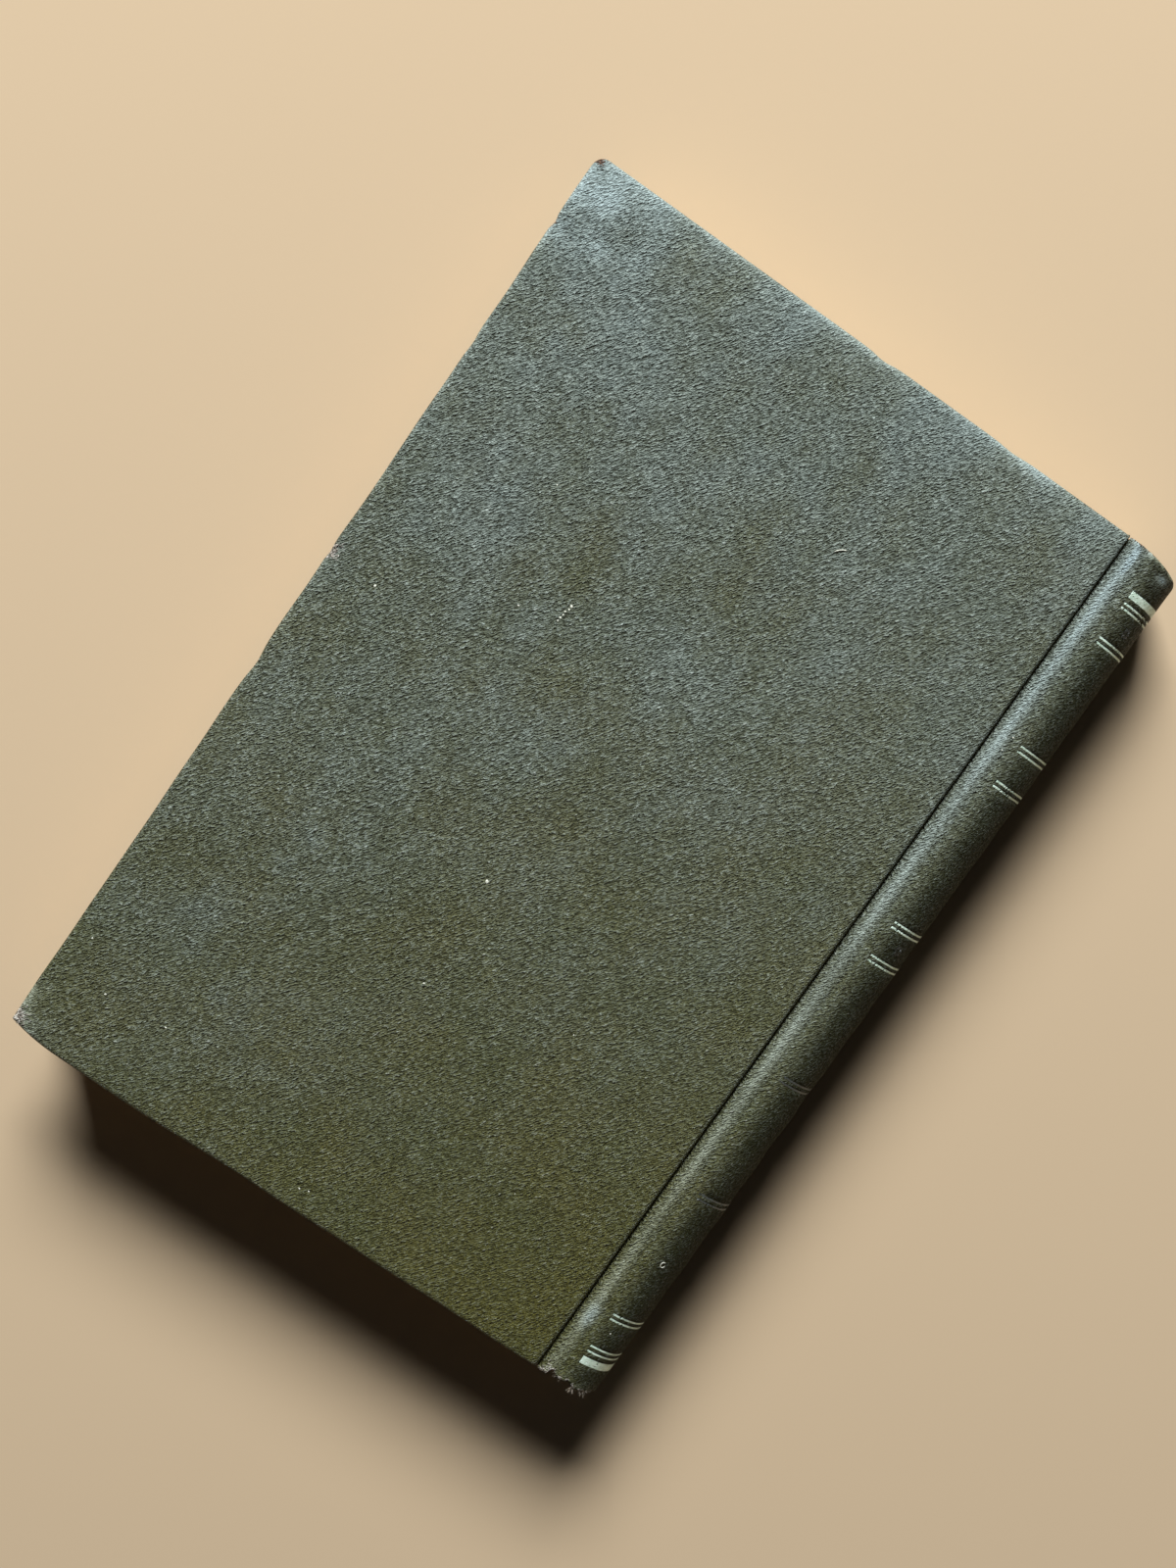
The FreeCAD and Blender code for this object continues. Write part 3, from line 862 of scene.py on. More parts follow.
def cover_rub(points, strong):
    """How rubbed the covering is: along its edges and most at its corners. The edge line, which grows
    towards the head, and the head corner are also painted sheen.
    """
    from_fore = points[:, 0] - FORE_X
    from_head = HEAD_Y - points[:, 1]
    from_tail = points[:, 1] - TAIL_Y
    uneven = 0.5 + 0.5 * ripple(points, 14.0, 21)
    edge = np.minimum(from_fore, np.minimum(from_head, from_tail))
    line = 0.4 * fade(edge - 0.3, 1.1) * (0.2 + 0.8 * uneven)
    line *= 0.2 + 0.8 * smooth(from_tail / 200)
    head_corner = fade(np.hypot(from_fore - 4, from_head - 5), 15.0)
    head_corner *= 0.8 + 0.3 * ripple(points, 8.0, 24)
    head_line = 0.3 * fade(from_head, 7.0)
    tail_corner = 0.5 * fade(np.hypot(from_fore, from_tail), 4.0)
    near_tip = smooth((13 - np.hypot(from_fore, from_tail)) / 6)
    silvery = 0.9 * fade(edge - 0.2, 0.8) * near_tip
    tail_corner += silvery * (0.55 + 0.45 * ripple(points, 3.1, 23))
    spots = np.zeros(len(points))
    for x, y, reach, amount in RUBBED:
        spots += amount * hump(np.hypot(from_fore - x, from_tail - y), reach)
    spots *= 0.6 + 0.4 * ripple(points, 2.2, 22)
    on_face = 0.3 + 0.7 * smooth((points[:, 2] - TOP_Z + 2.2) / 1.6)
    worn = 0.46 * head_corner + head_line + tail_corner + spots
    return np.clip(line + strong * worn, 0, 0.9) * on_face


def cover_haze(points):
    """Painted grey-blue sheen, a painted reflection that is stronger towards the head and the fore-edge,
    and grey-blue scuffs in their places.
    """
    from_fore = points[:, 0] - FORE_X
    from_tail = points[:, 1] - TAIL_Y
    # Painted sheen: a grey-blue reflection of the light that grows towards the head and the fore-edge.
    painted_sheen = 0.69 * (np.clip(from_tail, 0, None) / 220) ** 1.35 + 0.22 * (1 - from_fore / 136) - 0.03
    uneven = 1 + 0.1 * ripple(points * [1, 1, 0], 34.0, 51) + 0.1 * ripple(points * [1, 1, 0], 12.0, 52)
    patches = 0.4 * fade(np.hypot(from_fore, from_tail), 3.0)
    for x, y, reach_x, reach_y, amount in SCUFFS:
        patches += amount * np.exp(-((from_fore - x) / reach_x) ** 2 - ((from_tail - y) / reach_y) ** 2)
    ragged = 1 + 0.45 * ripple(points * [1, 1, 0], 8.0, 53)
    on_face = 0.35 + 0.65 * smooth((points[:, 2] - TOP_Z + 1.6) / 1.4)
    return np.clip(painted_sheen * uneven + patches * np.clip(ragged, 0.2, None), 0, 0.9) * on_face


def cover_bare(points):
    """Where the covering is worn through: the two outer corners and the torn notch."""
    places = [(FORE_X + 0.4, HEAD_Y - 0.4, 1.9, 0.8), (FORE_X, TAIL_Y + KNOCKED_RISE, 2.6, 1.0),
              (FORE_X + 0.2, TAIL_Y + 122.5, 1.8, 1.0), (JOINT_X, TAIL_Y, 1.4, 0.6),
              (FORE_X, TAIL_Y + 204, 0.8, 0.8)]
    worn = np.zeros(len(points))
    for x, y, reach, amount in places:
        away = np.hypot(points[:, 0] - x, points[:, 1] - y)
        worn = np.maximum(worn, amount * hump(away, reach))
    return worn


def make_cover(name, body, upper):
    """Covering and board of one cover. The lower one is drawn as an upper one and turned over."""
    wear = wear_upper if upper else wear_lower
    place = (lambda points: points) if upper else to_lower
    points, faces = wrapped_cover()
    rub = cover_rub(points, 1.0 if upper else 0.5)
    bare = cover_bare(points) if upper else np.zeros(len(points))
    # The lower cover gets an even painted sheen.
    haze = cover_haze(points) if upper else np.full(len(points), 0.15)
    covering = new_piece(name + "_covering", place(wear(points)), faces, LEATHER_FINISH, flip=not upper)
    add_values(covering, rub=rub, bare=bare, haze=haze)
    thicken(merge_doubles(covering), LEATHER * SHEET_SHARE)
    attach(covering, body)
    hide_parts(name + "_cover_leather")

    points, faces = board_slab()
    core = new_piece(name + "_board_core", place(wear(points)), faces, BOARD, flip=not upper)
    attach(core, body)
    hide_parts(name + "_board")


def make_pastedown(side, body, upper):
    """The endpaper pasted inside a cover, which follows the soft step at the turned-in leather's edge."""
    low, high = node_box("back_pastedown")
    turned_edge = FORE_X + TURN_IN
    end = HEAD_Y - TURN_IN
    near = np.linspace(-1.8, 1.8, 10)
    columns = np.union1d(np.linspace(low[0], high[0], 46), turned_edge + near)
    rows = np.union1d(np.linspace(low[1], high[1], 72), np.concatenate([end + near, near - end]))
    grid_x, grid_y = np.meshgrid(columns, rows)
    inside = np.minimum(grid_x - turned_edge, end - np.abs(grid_y))
    sunk = LEATHER * smooth(inside / 2.4 + 0.5)
    flat = np.stack([grid_x, grid_y, np.zeros_like(grid_x)], axis=-1).reshape(-1, 3)
    cockle = 0.04 * ripple(flat, 31.0, 91) * smooth(inside.ravel() / 8.0)
    points = flat + np.stack([0 * cockle, 0 * cockle, low[2] + sunk.ravel() - np.abs(cockle)], axis=-1)
    sheet = new_piece(side + "_pastedown_sheet", points if upper else to_lower(points),
                      grid_faces(len(rows), len(columns)), END_PAPER, flip=upper)
    thicken(sheet, PAPER * SHEET_SHARE)
    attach(sheet, body)
    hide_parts(side + "_pastedown")


# Marks lying on the upper cover

def blob(rings=4, around=10):
    """A low round grain of unit size, flat below."""
    points = [(0.0, 0.0, 0.35)]
    for ring in range(1, rings + 1):
        reach = ring / rings
        rise = 0.35 * math.sqrt(max(0.0, 1 - reach ** 2))
        for step in range(around):
            turn = 2 * math.pi * step / around
            points.append((reach * math.cos(turn), reach * math.sin(turn), rise))
    faces = [(0, 1 + step, 1 + (step + 1) % around) for step in range(around)]
    for ring in range(rings - 1):
        a = 1 + ring * around
        b = a + around
        for step in range(around):
            after = (step + 1) % around
            faces.append((a + step, b + step, b + after, a + after))
    last = 1 + (rings - 1) * around
    faces.append(tuple(last + step for step in reversed(range(around))))
    return new_piece("blob", points, faces, SPECK)


def surface_place(from_fore, from_tail, lift=-0.02):
    """A place on the upper cover as it is worn, from its fore-edge and tail."""
    x, y, z = wear_upper(np.array([[FORE_X + from_fore, TAIL_Y + from_tail, TOP_Z]]))[0]
    return (x, y, z + lift)


def make_specks():
    random = np.random.default_rng(31)
    marks = list(SPECKS)
    first, last, count, size = DOTTED_SCUFF
    for share in np.linspace(0, 1, count):
        marks.append((first[0] + share * (last[0] - first[0]) + random.uniform(-0.15, 0.15),
                      first[1] + share * (last[1] - first[1]), size * random.uniform(0.6, 1.1)))
    places = [surface_place(x, y) for x, y, _ in marks]
    turns = [(0.0, 0.0, random.uniform(0, math.pi)) for _ in marks]
    sizes = [(speck * random.uniform(0.9, 1.3), speck * random.uniform(0.7, 1.0), speck)
             for _, _, speck in marks]
    specks = place_copies("pale_specks", blob(), places, turns, sizes, SPECK)
    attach(specks, "back_cover")


def tube(name, path, radius, material, around=8):
    """A round thread along a path of points, tapered at both ends."""
    path = np.asarray(path, float)
    along = np.gradient(path, axis=0)
    along /= np.linalg.norm(along, axis=1)[:, None]
    side = np.cross(along, [0.0, 0.0, 1.0])
    side /= np.linalg.norm(side, axis=1)[:, None]
    up = np.cross(side, along)
    share = np.linspace(0, 1, len(path))
    reach = radius * np.clip(np.sin(math.pi * np.clip(share, 0.04, 0.96)) * 2.0, 0.25, 1.0)
    turns = 2 * math.pi * np.arange(around) / around
    ring = (np.cos(turns)[None, :, None] * side[:, None, :] + np.sin(turns)[None, :, None] * up[:, None, :])
    points = (path[:, None, :] + ring * reach[:, None, None]).reshape(-1, 3)
    return face_outwards(new_piece(name, points, tube_faces(len(path), around), material))


def spine_place(from_joint, from_tail, lift=0.02):
    """A place on the round of the spine, from the upper joint and the tail."""
    x = JOINT_X + from_joint
    return (x, TAIL_Y + from_tail, MIDDLE_Z + math.sqrt((SPINE_RADIUS + lift) ** 2 - (x - SPINE_X) ** 2))


def make_spine_marks():
    """A pale ring left on the spine, and a few pale dots."""
    from_joint, from_tail, radius = SPINE_RING
    turns = np.linspace(0.15 * math.pi, 2.05 * math.pi, 40)
    path = [spine_place(from_joint + radius * math.cos(turn) * 0.8, from_tail + radius * math.sin(turn))
            for turn in turns]
    ring = tube("spine_ring_mark", path, 0.1, SPECK)
    places = [spine_place(x, y, -0.05) for x, y, _ in SPINE_DOTS]
    sizes = [(dot, dot, dot) for _, _, dot in SPINE_DOTS]
    turns = [(0.0, math.asin(max(0.0, (place[0] - SPINE_X) / SPINE_RADIUS)), 0.0) for place in places]
    dots = place_copies("spine_dots", blob(), places, turns, sizes, SPECK)
    for piece in (ring, dots):
        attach(piece, "text_block")


def make_stray_fibre():
    ends = np.array([surface_place(*place) for place in STRAY_FIBRE])
    share = np.linspace(0, 1, 13)[:, None]
    path = (1 - share) ** 2 * ends[0] + 2 * share * (1 - share) * ends[1] + share ** 2 * ends[2]
    path[:, 2] += 0.09
    fibre = tube("stray_fibre", path, 0.12, SPECK)
    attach(fibre, "back_cover")


# Text block

def back_outline():
    """The block's rounded back in section, from its lower shoulder to its upper one."""
    shoulder_x = JOINT_X + SHOULDER_FOOT - SPINE_X
    peak_x = JOINT_X + SHOULDER_PEAK - SPINE_X
    rise = block_high[2] - MIDDLE_Z
    touch = math.atan2(rise, shoulder_x) - math.acos(BLOCK_RADIUS / math.hypot(shoulder_x, rise))
    turns = np.linspace(0, touch, 24)
    upper_x = np.concatenate([BLOCK_RADIUS * np.cos(turns), [shoulder_x, peak_x]])
    upper_z = np.concatenate([BLOCK_RADIUS * np.sin(turns), [rise, rise]])
    x = np.concatenate([upper_x[:0:-1], upper_x]) + SPINE_X
    z = np.concatenate([-upper_z[:0:-1], upper_z]) + MIDDLE_Z
    run = np.concatenate([[0], np.cumsum(np.hypot(np.diff(x), np.diff(z)))])
    return x, z, run / run[-1]


def make_text_block():
    random = np.random.default_rng(12)
    lines = LEAF_LINES
    along = np.concatenate([np.linspace(0, 0.9, 34), np.linspace(0.9, 1, 26)[1:]])
    rows = np.linspace(block_low[1], block_high[1], 62)
    leaves = np.linspace(0, 1, lines)
    outline_x, outline_z, outline_run = back_outline()
    half = BLOCK_TOP - MIDDLE_Z
    flat_z = MIDDLE_Z + half * (2 * leaves - 1)
    round_in = np.sqrt(BLOCK_RADIUS ** 2 - (flat_z - MIDDLE_Z) ** 2)
    fore = block_low[0] + round_in - math.sqrt(BLOCK_RADIUS ** 2 - half ** 2)
    back_x = np.interp(leaves, outline_run, outline_x)
    back_z = np.interp(leaves, outline_run, outline_z)
    section = np.arange(lines) // SECTION_LINES
    in_section = np.arange(lines) % SECTION_LINES
    fold = np.where(in_section == 0, -FOLD_SUNK, 0.0)
    leaf = random.normal(0, 0.045, lines) + random.normal(0, 0.05, section.max() + 1)[section] + fold
    leaf[[0, -1]] = 0.0
    start = JOINT_X + 0.3 - BACK_BEND * (1 - np.abs(2 * leaves - 1))

    def place(s, y, t):
        x = fore[t] + s * (back_x[t] - fore[t])
        ramp = smooth((x - start[t]) / (back_x[t] - start[t]))
        z = flat_z[t] + (back_z[t] - flat_z[t]) * ramp
        return x, y, z

    points, faces, leaf_map = [], [], []

    def add_sheet(s, y, t, flip):
        """One side of the block: arrays of one shape, for the share across, the row and the leaf line."""
        rows_here, columns_here = s.shape
        x, y_out, z = place(s, y, t)
        end = np.where(y > 0, 1.0, -1.0) * (np.abs(np.abs(y) - block_high[1]) < 1e-6)
        wave = 0.6 + 0.4 * np.sin(s * 9 + section[t])
        y_out = y_out + end * np.minimum(leaf[t] * wave, 0.08)
        at_fore = s < 1e-6
        x = x - at_fore * leaf[t] * (0.7 + 0.3 * np.sin(y / 17 + t * 0.4))
        sheet = np.stack([x, y_out, z], axis=-1).reshape(-1, 3)
        made = grid_faces(rows_here, columns_here, sum(len(p) for p in points))
        faces.extend([tuple(reversed(face)) for face in made] if flip else made)
        across = np.where(at_fore, y, x) * 0.01
        leaf_map.append(np.stack([across, leaves[t]], axis=-1).reshape(-1, 2))
        points.append(sheet)

    leaf_numbers = np.arange(lines)
    s_grid, t_grid = np.meshgrid(along, leaf_numbers)
    add_sheet(s_grid, np.full(s_grid.shape, block_low[1]), t_grid, False)
    add_sheet(s_grid, np.full(s_grid.shape, block_high[1]), t_grid, True)
    y_grid, t_side = np.meshgrid(rows, leaf_numbers)
    add_sheet(np.zeros(y_grid.shape), y_grid, t_side, True)
    add_sheet(np.ones(y_grid.shape), y_grid, t_side, False)
    s_flat, y_flat = np.meshgrid(along, rows)
    add_sheet(s_flat, y_flat, np.full(s_flat.shape, lines - 1), False)
    add_sheet(s_flat, y_flat, np.zeros(s_flat.shape, int), True)

    block = new_piece("page_block", np.concatenate(points), faces, PAGE_EDGES)
    uv = block.data.uv_layers.new(name="leaves")
    flat_map = np.concatenate(leaf_map)
    corner = np.array([loop.vertex_index for loop in block.data.loops])
    uv.data.foreach_set("uv", flat_map[corner].astype(np.float32).ravel())
    merge_doubles(block)
    block.data.shade_flat()
    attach(block, "text_block")
    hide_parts("text_block")


# End bands: silk wound over a cord, by turns in two colours

def make_end_band(name, node, end, outwards):
    radius = BAND_RADIUS
    middle = BLOCK_RADIUS - BAND_INSIDE
    seat = end + outwards * BAND_SEAT
    reach = math.radians(BAND_REACH)
    turns = np.linspace(-reach, reach, 40)
    core_x = SPINE_X + middle * np.cos(turns)
    core_z = MIDDLE_Z + middle * np.sin(turns)
    core_path = np.stack([core_x, np.full(40, seat), core_z], axis=-1)
    wound = np.linspace(-reach, reach, BAND_TURNS)
    pieces = []
    for shade, material in enumerate((BAND_GREEN, BAND_CREAM)):
        ring = wrap_ring(radius)
        chosen = [turn for number, turn in enumerate(wound) if (number // 2) % 2 == shade]
        places = [(SPINE_X + middle * math.cos(turn), seat, MIDDLE_Z + middle * math.sin(turn))
                  for turn in chosen]
        angles = [(0.0, -turn, 0.0) for turn in chosen]
        part_name = name + ("_green_silk" if shade == 0 else "_cream_silk")
        pieces.append(place_copies(part_name, ring, places, angles, [(1, 1, 1)] * len(chosen), material))
    core = tube(name + "_core", core_path, radius * 0.9, BAND_CREAM, around=14)
    pieces.append(core)
    for piece in pieces:
        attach(piece, "text_block")
    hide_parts(node)


def wrap_ring(radius, thread=0.17, around=18, sides=6):
    """One turn of thread about a cord that runs along Z."""
    points, faces = [], []
    count = around * sides
    for step in range(around):
        turn = 2 * math.pi * step / around
        for side in range(sides):
            tilt = 2 * math.pi * side / sides
            reach = radius + thread * math.cos(tilt)
            points.append((reach * math.cos(turn), reach * math.sin(turn), thread * math.sin(tilt) * 1.15))
    for step in range(around):
        for side in range(sides):
            a = step * sides + side
            b = step * sides + (side + 1) % sides
            faces.append((a, (a + sides) % count, (b + sides) % count, b))
    return new_piece("wrap", points, faces, BAND_CREAM)


# Spine

def tooled_lines():
    """Every tooled line of the spine, as its middle, width and whether its foil is left."""
    lines = [(TAIL_Y + TAIL_BAND[0], TAIL_BAND[1], "tail_end_band")]
    lines += [(HEAD_Y - HEAD_BAND[0], HEAD_BAND[1], "head_end_band")]
    lines += [(TAIL_Y + place, FILLET, "tail_end_fillets") for place in TAIL_FILLETS]
    lines += [(HEAD_Y - place, FILLET, "head_end_fillets") for place in HEAD_FILLETS]
    middle = (TAIL_Y + HEAD_Y) / 2
    for step in (0.0, PAIR_PITCH):
        lines += [(TAIL_Y + place + step, FILLET, "panel_fillets") for place in TAIL_PAIRS]
        lines += [(middle + place + step, FILLET, "panel_fillets") for place in MIDDLE_PAIRS]
        lines += [(HEAD_Y - place - step, FILLET, "panel_fillets") for place in HEAD_PAIRS]
        lines += [(TAIL_Y + place + step, FILLET, "faded_fillets") for place in FADED_PAIRS]
    return lines


def spine_profile():
    """Section of the spine's outside from the upper joint round to the lower: points and inward normals."""
    flank = np.array(FLANK)
    reach = np.concatenate([[0.3], np.linspace(0.4, SPINE_X - JOINT_X, 26)])
    drop = np.interp(reach, flank[:, 0], flank[:, 1])
    flank_x = JOINT_X + reach
    flank_z = TOP_Z - drop
    turns = np.radians(np.linspace(90, 0, 46)[1:])
    edge_from, edge_to = STIFFENER_EDGE
    sink = STIFFENER_STEP * smooth((np.degrees(turns) - edge_to) / (edge_from - edge_to))
    radius = SPINE_RADIUS - sink
    round_x = SPINE_X + radius * np.cos(turns)
    round_z = MIDDLE_Z + radius * np.sin(turns)
    x = np.concatenate([flank_x, round_x])
    z = np.concatenate([flank_z, round_z])
    x = np.concatenate([x, x[-2::-1]])
    z = np.concatenate([z, TOP_Z - z[-2::-1]])
    tangent = np.stack([np.gradient(x), np.gradient(z)], axis=-1)
    tangent /= np.linalg.norm(tangent, axis=1)[:, None]
    inward = np.stack([tangent[:, 1], -tangent[:, 0]], axis=-1)
    return x, z, inward


def spine_turn(x, z):
    """Angle round the spine's centre line, 0 at its crown, 90 and over beside the joints."""
    return np.degrees(np.arctan2(np.abs(z - MIDDLE_Z), x - SPINE_X))


def spine_rows():
    base = np.arange(TAIL_Y + 3.0, HEAD_Y - 3.0, 1.9)
    ends = np.arange(0.0, 3.0, 0.3)
    edges = []
    for middle, width, _ in tooled_lines():
        for side in (-1, 1):
            edges += [middle + side * (width / 2 - TOOL_SLOPE), middle + side * (width / 2 + TOOL_SLOPE)]
    rows = np.sort(np.concatenate([base, TAIL_Y + ends, HEAD_Y - ends, edges]))
    keep = np.concatenate([[True], np.diff(rows) > 0.05])
    return rows[keep]


def groove_depth(y, turn):
    """Depth of the tooling at a place on the spine."""
    depth = np.zeros(np.broadcast(y, turn).shape)
    limit = math.degrees(math.acos((TOOLED_FROM_JOINT - (SPINE_X - JOINT_X)) / SPINE_RADIUS))
    inside = smooth((limit + 0.8 - turn) / 1.6)
    for middle, width, _ in tooled_lines():
        pressed = smooth((width / 2 + TOOL_SLOPE - np.abs(y - middle)) / (2 * TOOL_SLOPE))
        depth = np.maximum(depth, TOOL_DEPTH * pressed * inside)
    return depth


def end_rounding(x):
    """How far the spine's ends are worn back where it stands out most."""
    past = np.clip(x - (SPINE_X + SPINE_RADIUS - END_ROUND), 0, END_ROUND)
    slant = END_SLANT * np.clip((x - JOINT_X - SLANT_START) / SLANT_RUN, 0, 1) ** 1.3
    return slant + END_ROUND - np.sqrt(END_ROUND ** 2 - (0.97 * past) ** 2)


def make_stiffener():
    """Card round the hollow back, worn back with the covering at its two ends."""
    turns = np.radians(np.linspace(-86, 86, 61))
    radius = SPINE_RADIUS - LEATHER
    x = SPINE_X + radius * np.cos(turns)
    z = MIDDLE_Z + radius * np.sin(turns)
    worn = end_rounding(x)
    torn = np.where(z > MIDDLE_Z, np.interp(x - JOINT_X, *np.array(TAIL_TEAR).T), 0.0)
    rows = []
    for share in np.linspace(0, 1, 14):
        tail = TAIL_Y + STIFFENER_SET_BACK + np.maximum(0.25 * worn, torn * 0.9)
        head = HEAD_Y - STIFFENER_SET_BACK - worn
        rows.append(np.stack([x, tail + share * (head - tail), z], axis=-1))
    card = new_piece("spine_card", np.concatenate(rows), grid_faces(14, len(x)), CARD, flip=True)
    thicken(card, STIFFENER * CARD_SHARE)
    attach(face_outwards(card), "text_block")
    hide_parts("spine_stiffener")


def make_spine():
    x, z, inward = spine_profile()
    turn = spine_turn(x, z)
    rows = spine_rows()
    from_joint = x - JOINT_X
    upper = z > MIDDLE_Z
    tear = np.where(upper, np.interp(from_joint, *np.array(TAIL_TEAR).T), 0.0)
    torn = smooth(tear / 0.5)
    head_wear = end_rounding(x)
    jagged = np.where(upper, 0.14 * np.sin(from_joint * 4.3) + 0.12 * np.sin(from_joint * 9.1 + 1.0), 0.0)
    tail_wear = np.maximum(tear + jagged, 0.25 * head_wear)
    cap = CAP_ROUND * np.clip(from_joint / 1.6, 0.3, 1.0)
    turn_in = FLANK_TURN_IN + (CAP_TURN_IN - FLANK_TURN_IN) * smooth((88 - turn) / 10)

    def end_rows(outwards, wear, end_cap, reach):
        """Rows that carry the covering over its end and in along the hollow."""
        made = []
        for angle in np.radians([15, 45, 75, 105, 135, 165, 180]):
            made.append((end_y(outwards, wear) + outwards * (end_cap * math.sin(angle) - end_cap),
                         end_cap * (1 - math.cos(angle))))
        for share in (0.15, 0.4, 0.7, 1.0):
            made.append((end_y(outwards, wear) - outwards * (end_cap + reach * share), 2 * end_cap))
        return made

    def end_y(outwards, wear):
        return HEAD_Y - wear if outwards > 0 else TAIL_Y + wear

    tail_cap = cap * (1 - torn * 0.8)
    body = []
    for y in rows:
        to_tail = np.clip(1 - (y - TAIL_Y) / 5.0, 0, 1)
        to_head = np.clip(1 - (HEAD_Y - y) / 5.0, 0, 1)
        shifted = y + to_tail * (tail_wear + tail_cap) - to_head * (head_wear + cap)
        body.append((shifted, groove_depth(y, turn)))
    tail_rows = end_rows(-1, tail_wear, tail_cap, turn_in * (1 - torn * 0.9))[::-1]
    head_rows = end_rows(1, head_wear, cap, turn_in)
    sheets = []
    for y, sunk in tail_rows + body + head_rows:
        y_here = np.broadcast_to(y, x.shape)
        sheets.append(np.stack([x + inward[:, 0] * sunk, y_here, z + inward[:, 1] * sunk], axis=-1))
    points = np.stack(sheets)
    flat = points.reshape(-1, 3)
    turned = np.tile(turn, len(sheets))
    soft = spine_unevenness(flat, turned)
    normal = np.tile(inward, (len(sheets), 1))
    flat[:, 0] += normal[:, 0] * soft
    flat[:, 2] += normal[:, 1] * soft
    covering = new_piece("spine_covering", flat, grid_faces(len(sheets), len(x)), LEATHER_FINISH)
    # Painted shade on the round, growing away from the upper joint.
    start, run, strength = SPINE_SHADE
    add_values(covering,
               rub=spine_rub(flat, np.tile(HEAD_Y - head_wear, len(sheets))),
               bare=spine_bare(flat, np.tile(TAIL_Y + tail_wear, len(sheets))),
               haze=spine_haze(flat),
               soil=strength * smooth((flat[:, 0] - JOINT_X - start) / run))
    thicken(covering, SPINE_LEATHER)
    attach(covering, "text_block")
    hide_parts("spine_leather")


def spine_unevenness(points, turned):
    """How far the covering dips inwards between its high places, up to its tooled part's ends."""
    return 0.05 * ripple(points, 11.0, 3) * smooth((86 - turned) / 4)


def spine_polish(points):
    """How polished the covering is at the places that have been handled most."""
    polish = np.zeros(len(points))
    for x, y, reach_x, reach_y, amount in SPINE_RUBBED:
        across = (points[:, 0] - JOINT_X - x) / reach_x
        along = (points[:, 1] - TAIL_Y - y) / reach_y
        polish += amount * np.exp(-across ** 2 - along ** 2)
    return polish * (points[:, 2] > MIDDLE_Z)


def spine_haze(points):
    """Painted sheen on the spine: a painted highlight on the ridge that grows towards the head, a broad
    painted sheen that grows towards the head and fades away from the joint, and the polished places.
    """
    from_tail = points[:, 1] - TAIL_Y
    from_joint = points[:, 0] - JOINT_X
    ridge = (0.02 + 0.55 * smooth(from_tail / 230)) * hump(from_joint - 2.4, 3.0)
    broad = (0.05 + 0.22 * smooth(from_tail / 220)) * (1 - 0.8 * smooth((from_joint - 5.0) / 6.0))
    return ridge + broad + spine_polish(points)


def spine_rub(points, head_end):
    """Rubbed most on the ridge beside the upper joint and at the two caps. On the ridge and at the head
    cap's rim it is also a painted highlight, stronger towards the head.
    """
    from_joint = points[:, 0] - JOINT_X
    from_tail = points[:, 1] - TAIL_Y
    uneven = 0.5 + 0.5 * ripple(points * [0.4, 1, 1], 26.0, 41)
    fine = 0.5 + 0.5 * ripple(points, 3.5, 42)
    ridge = hump(from_joint - 2.5, 1.35) * (points[:, 2] > MIDDLE_Z)
    strength = 0.6 + 0.24 * np.clip(from_tail / 200, 0, 1) + 0.4 * smooth((from_tail - 198) / 14)
    ends = 2.4 * fade(head_end - points[:, 1] - 0.2, 0.6)
    ends += 0.8 * fade(from_tail, 2.0)
    worn = ridge * strength * (0.75 + 0.25 * uneven) + 0.5 * ends * fine
    return np.clip(worn + spine_polish(points), 0, 0.95)


def spine_bare(points, tail_end):
    """Where the covering's fibres show: along the torn tail end and the head cap's rim."""
    tail = fade(points[:, 1] - tail_end - 0.2, 0.45) * (points[:, 2] > MIDDLE_Z)
    tail *= 0.65 + 0.35 * ripple(points, 2.2, 44)
    from_joint = points[:, 0] - JOINT_X
    on_ridge = 0.35 * hump(from_joint - 1.9, 0.9)
    on_ridge *= smooth((TAIL_Y + 5.5 - points[:, 1]) / 4.0)
    tail += on_ridge * (points[:, 2] > MIDDLE_Z)
    head = 0.45 * fade(HEAD_Y - points[:, 1], 0.8)
    return np.clip(tail + head, 0, 1)


# Foil laid in the tooling

def make_foil_piece(name, lines, material, seed, loss):
    """Thin stamped strips round the spine. Loss is the share of their edge and face that has flaked."""
    random = np.random.default_rng(seed)
    limit = math.acos((TOOLED_FROM_JOINT - (SPINE_X - JOINT_X)) / SPINE_RADIUS)
    points, faces = [], []
    for middle, width in lines:
        across = max(5, int(round(width / 0.1)) + 1)
        turns = np.linspace(-limit, limit, FOIL_STEPS)
        ragged = random.normal(0, 0.02, (2, len(turns)))
        share = np.linspace(-0.5, 0.5, across)
        y = middle + share[:, None] * (width * 0.92) + np.where(share[:, None] < 0, ragged[0], ragged[1])
        radius = SPINE_RADIUS - TOOL_DEPTH + FOIL_LIFT
        turn_grid = np.tile(turns, (across, 1)).ravel()
        round_place = np.stack([np.cos(turn_grid), np.zeros(len(turn_grid)), np.sin(turn_grid)], axis=-1)
        sheet = round_place * radius + np.array([SPINE_X, 0, MIDDLE_Z]) + y.reshape(-1, 1) * [0, 1, 0]
        sheet -= round_place * spine_unevenness(sheet, np.degrees(np.abs(turn_grid)))[:, None]
        start = sum(len(part) for part in points)
        made = np.array(grid_faces(across, len(turns), start))
        centre = sheet[made - start].mean(axis=1)
        flaked = ripple(centre, 0.8, seed + 1) + 0.8 * ripple(centre, 7.0, seed + 2)
        order = np.sort(flaked)
        kept = flaked < order[int(len(order) * (1 - loss)) - 1]
        faces += made[kept].tolist()
        points.append(sheet)
    piece = new_piece(name, np.concatenate(points), faces, material)
    drop_loose_points(piece)
    thicken(piece, FOIL)
    return face_outwards(piece)


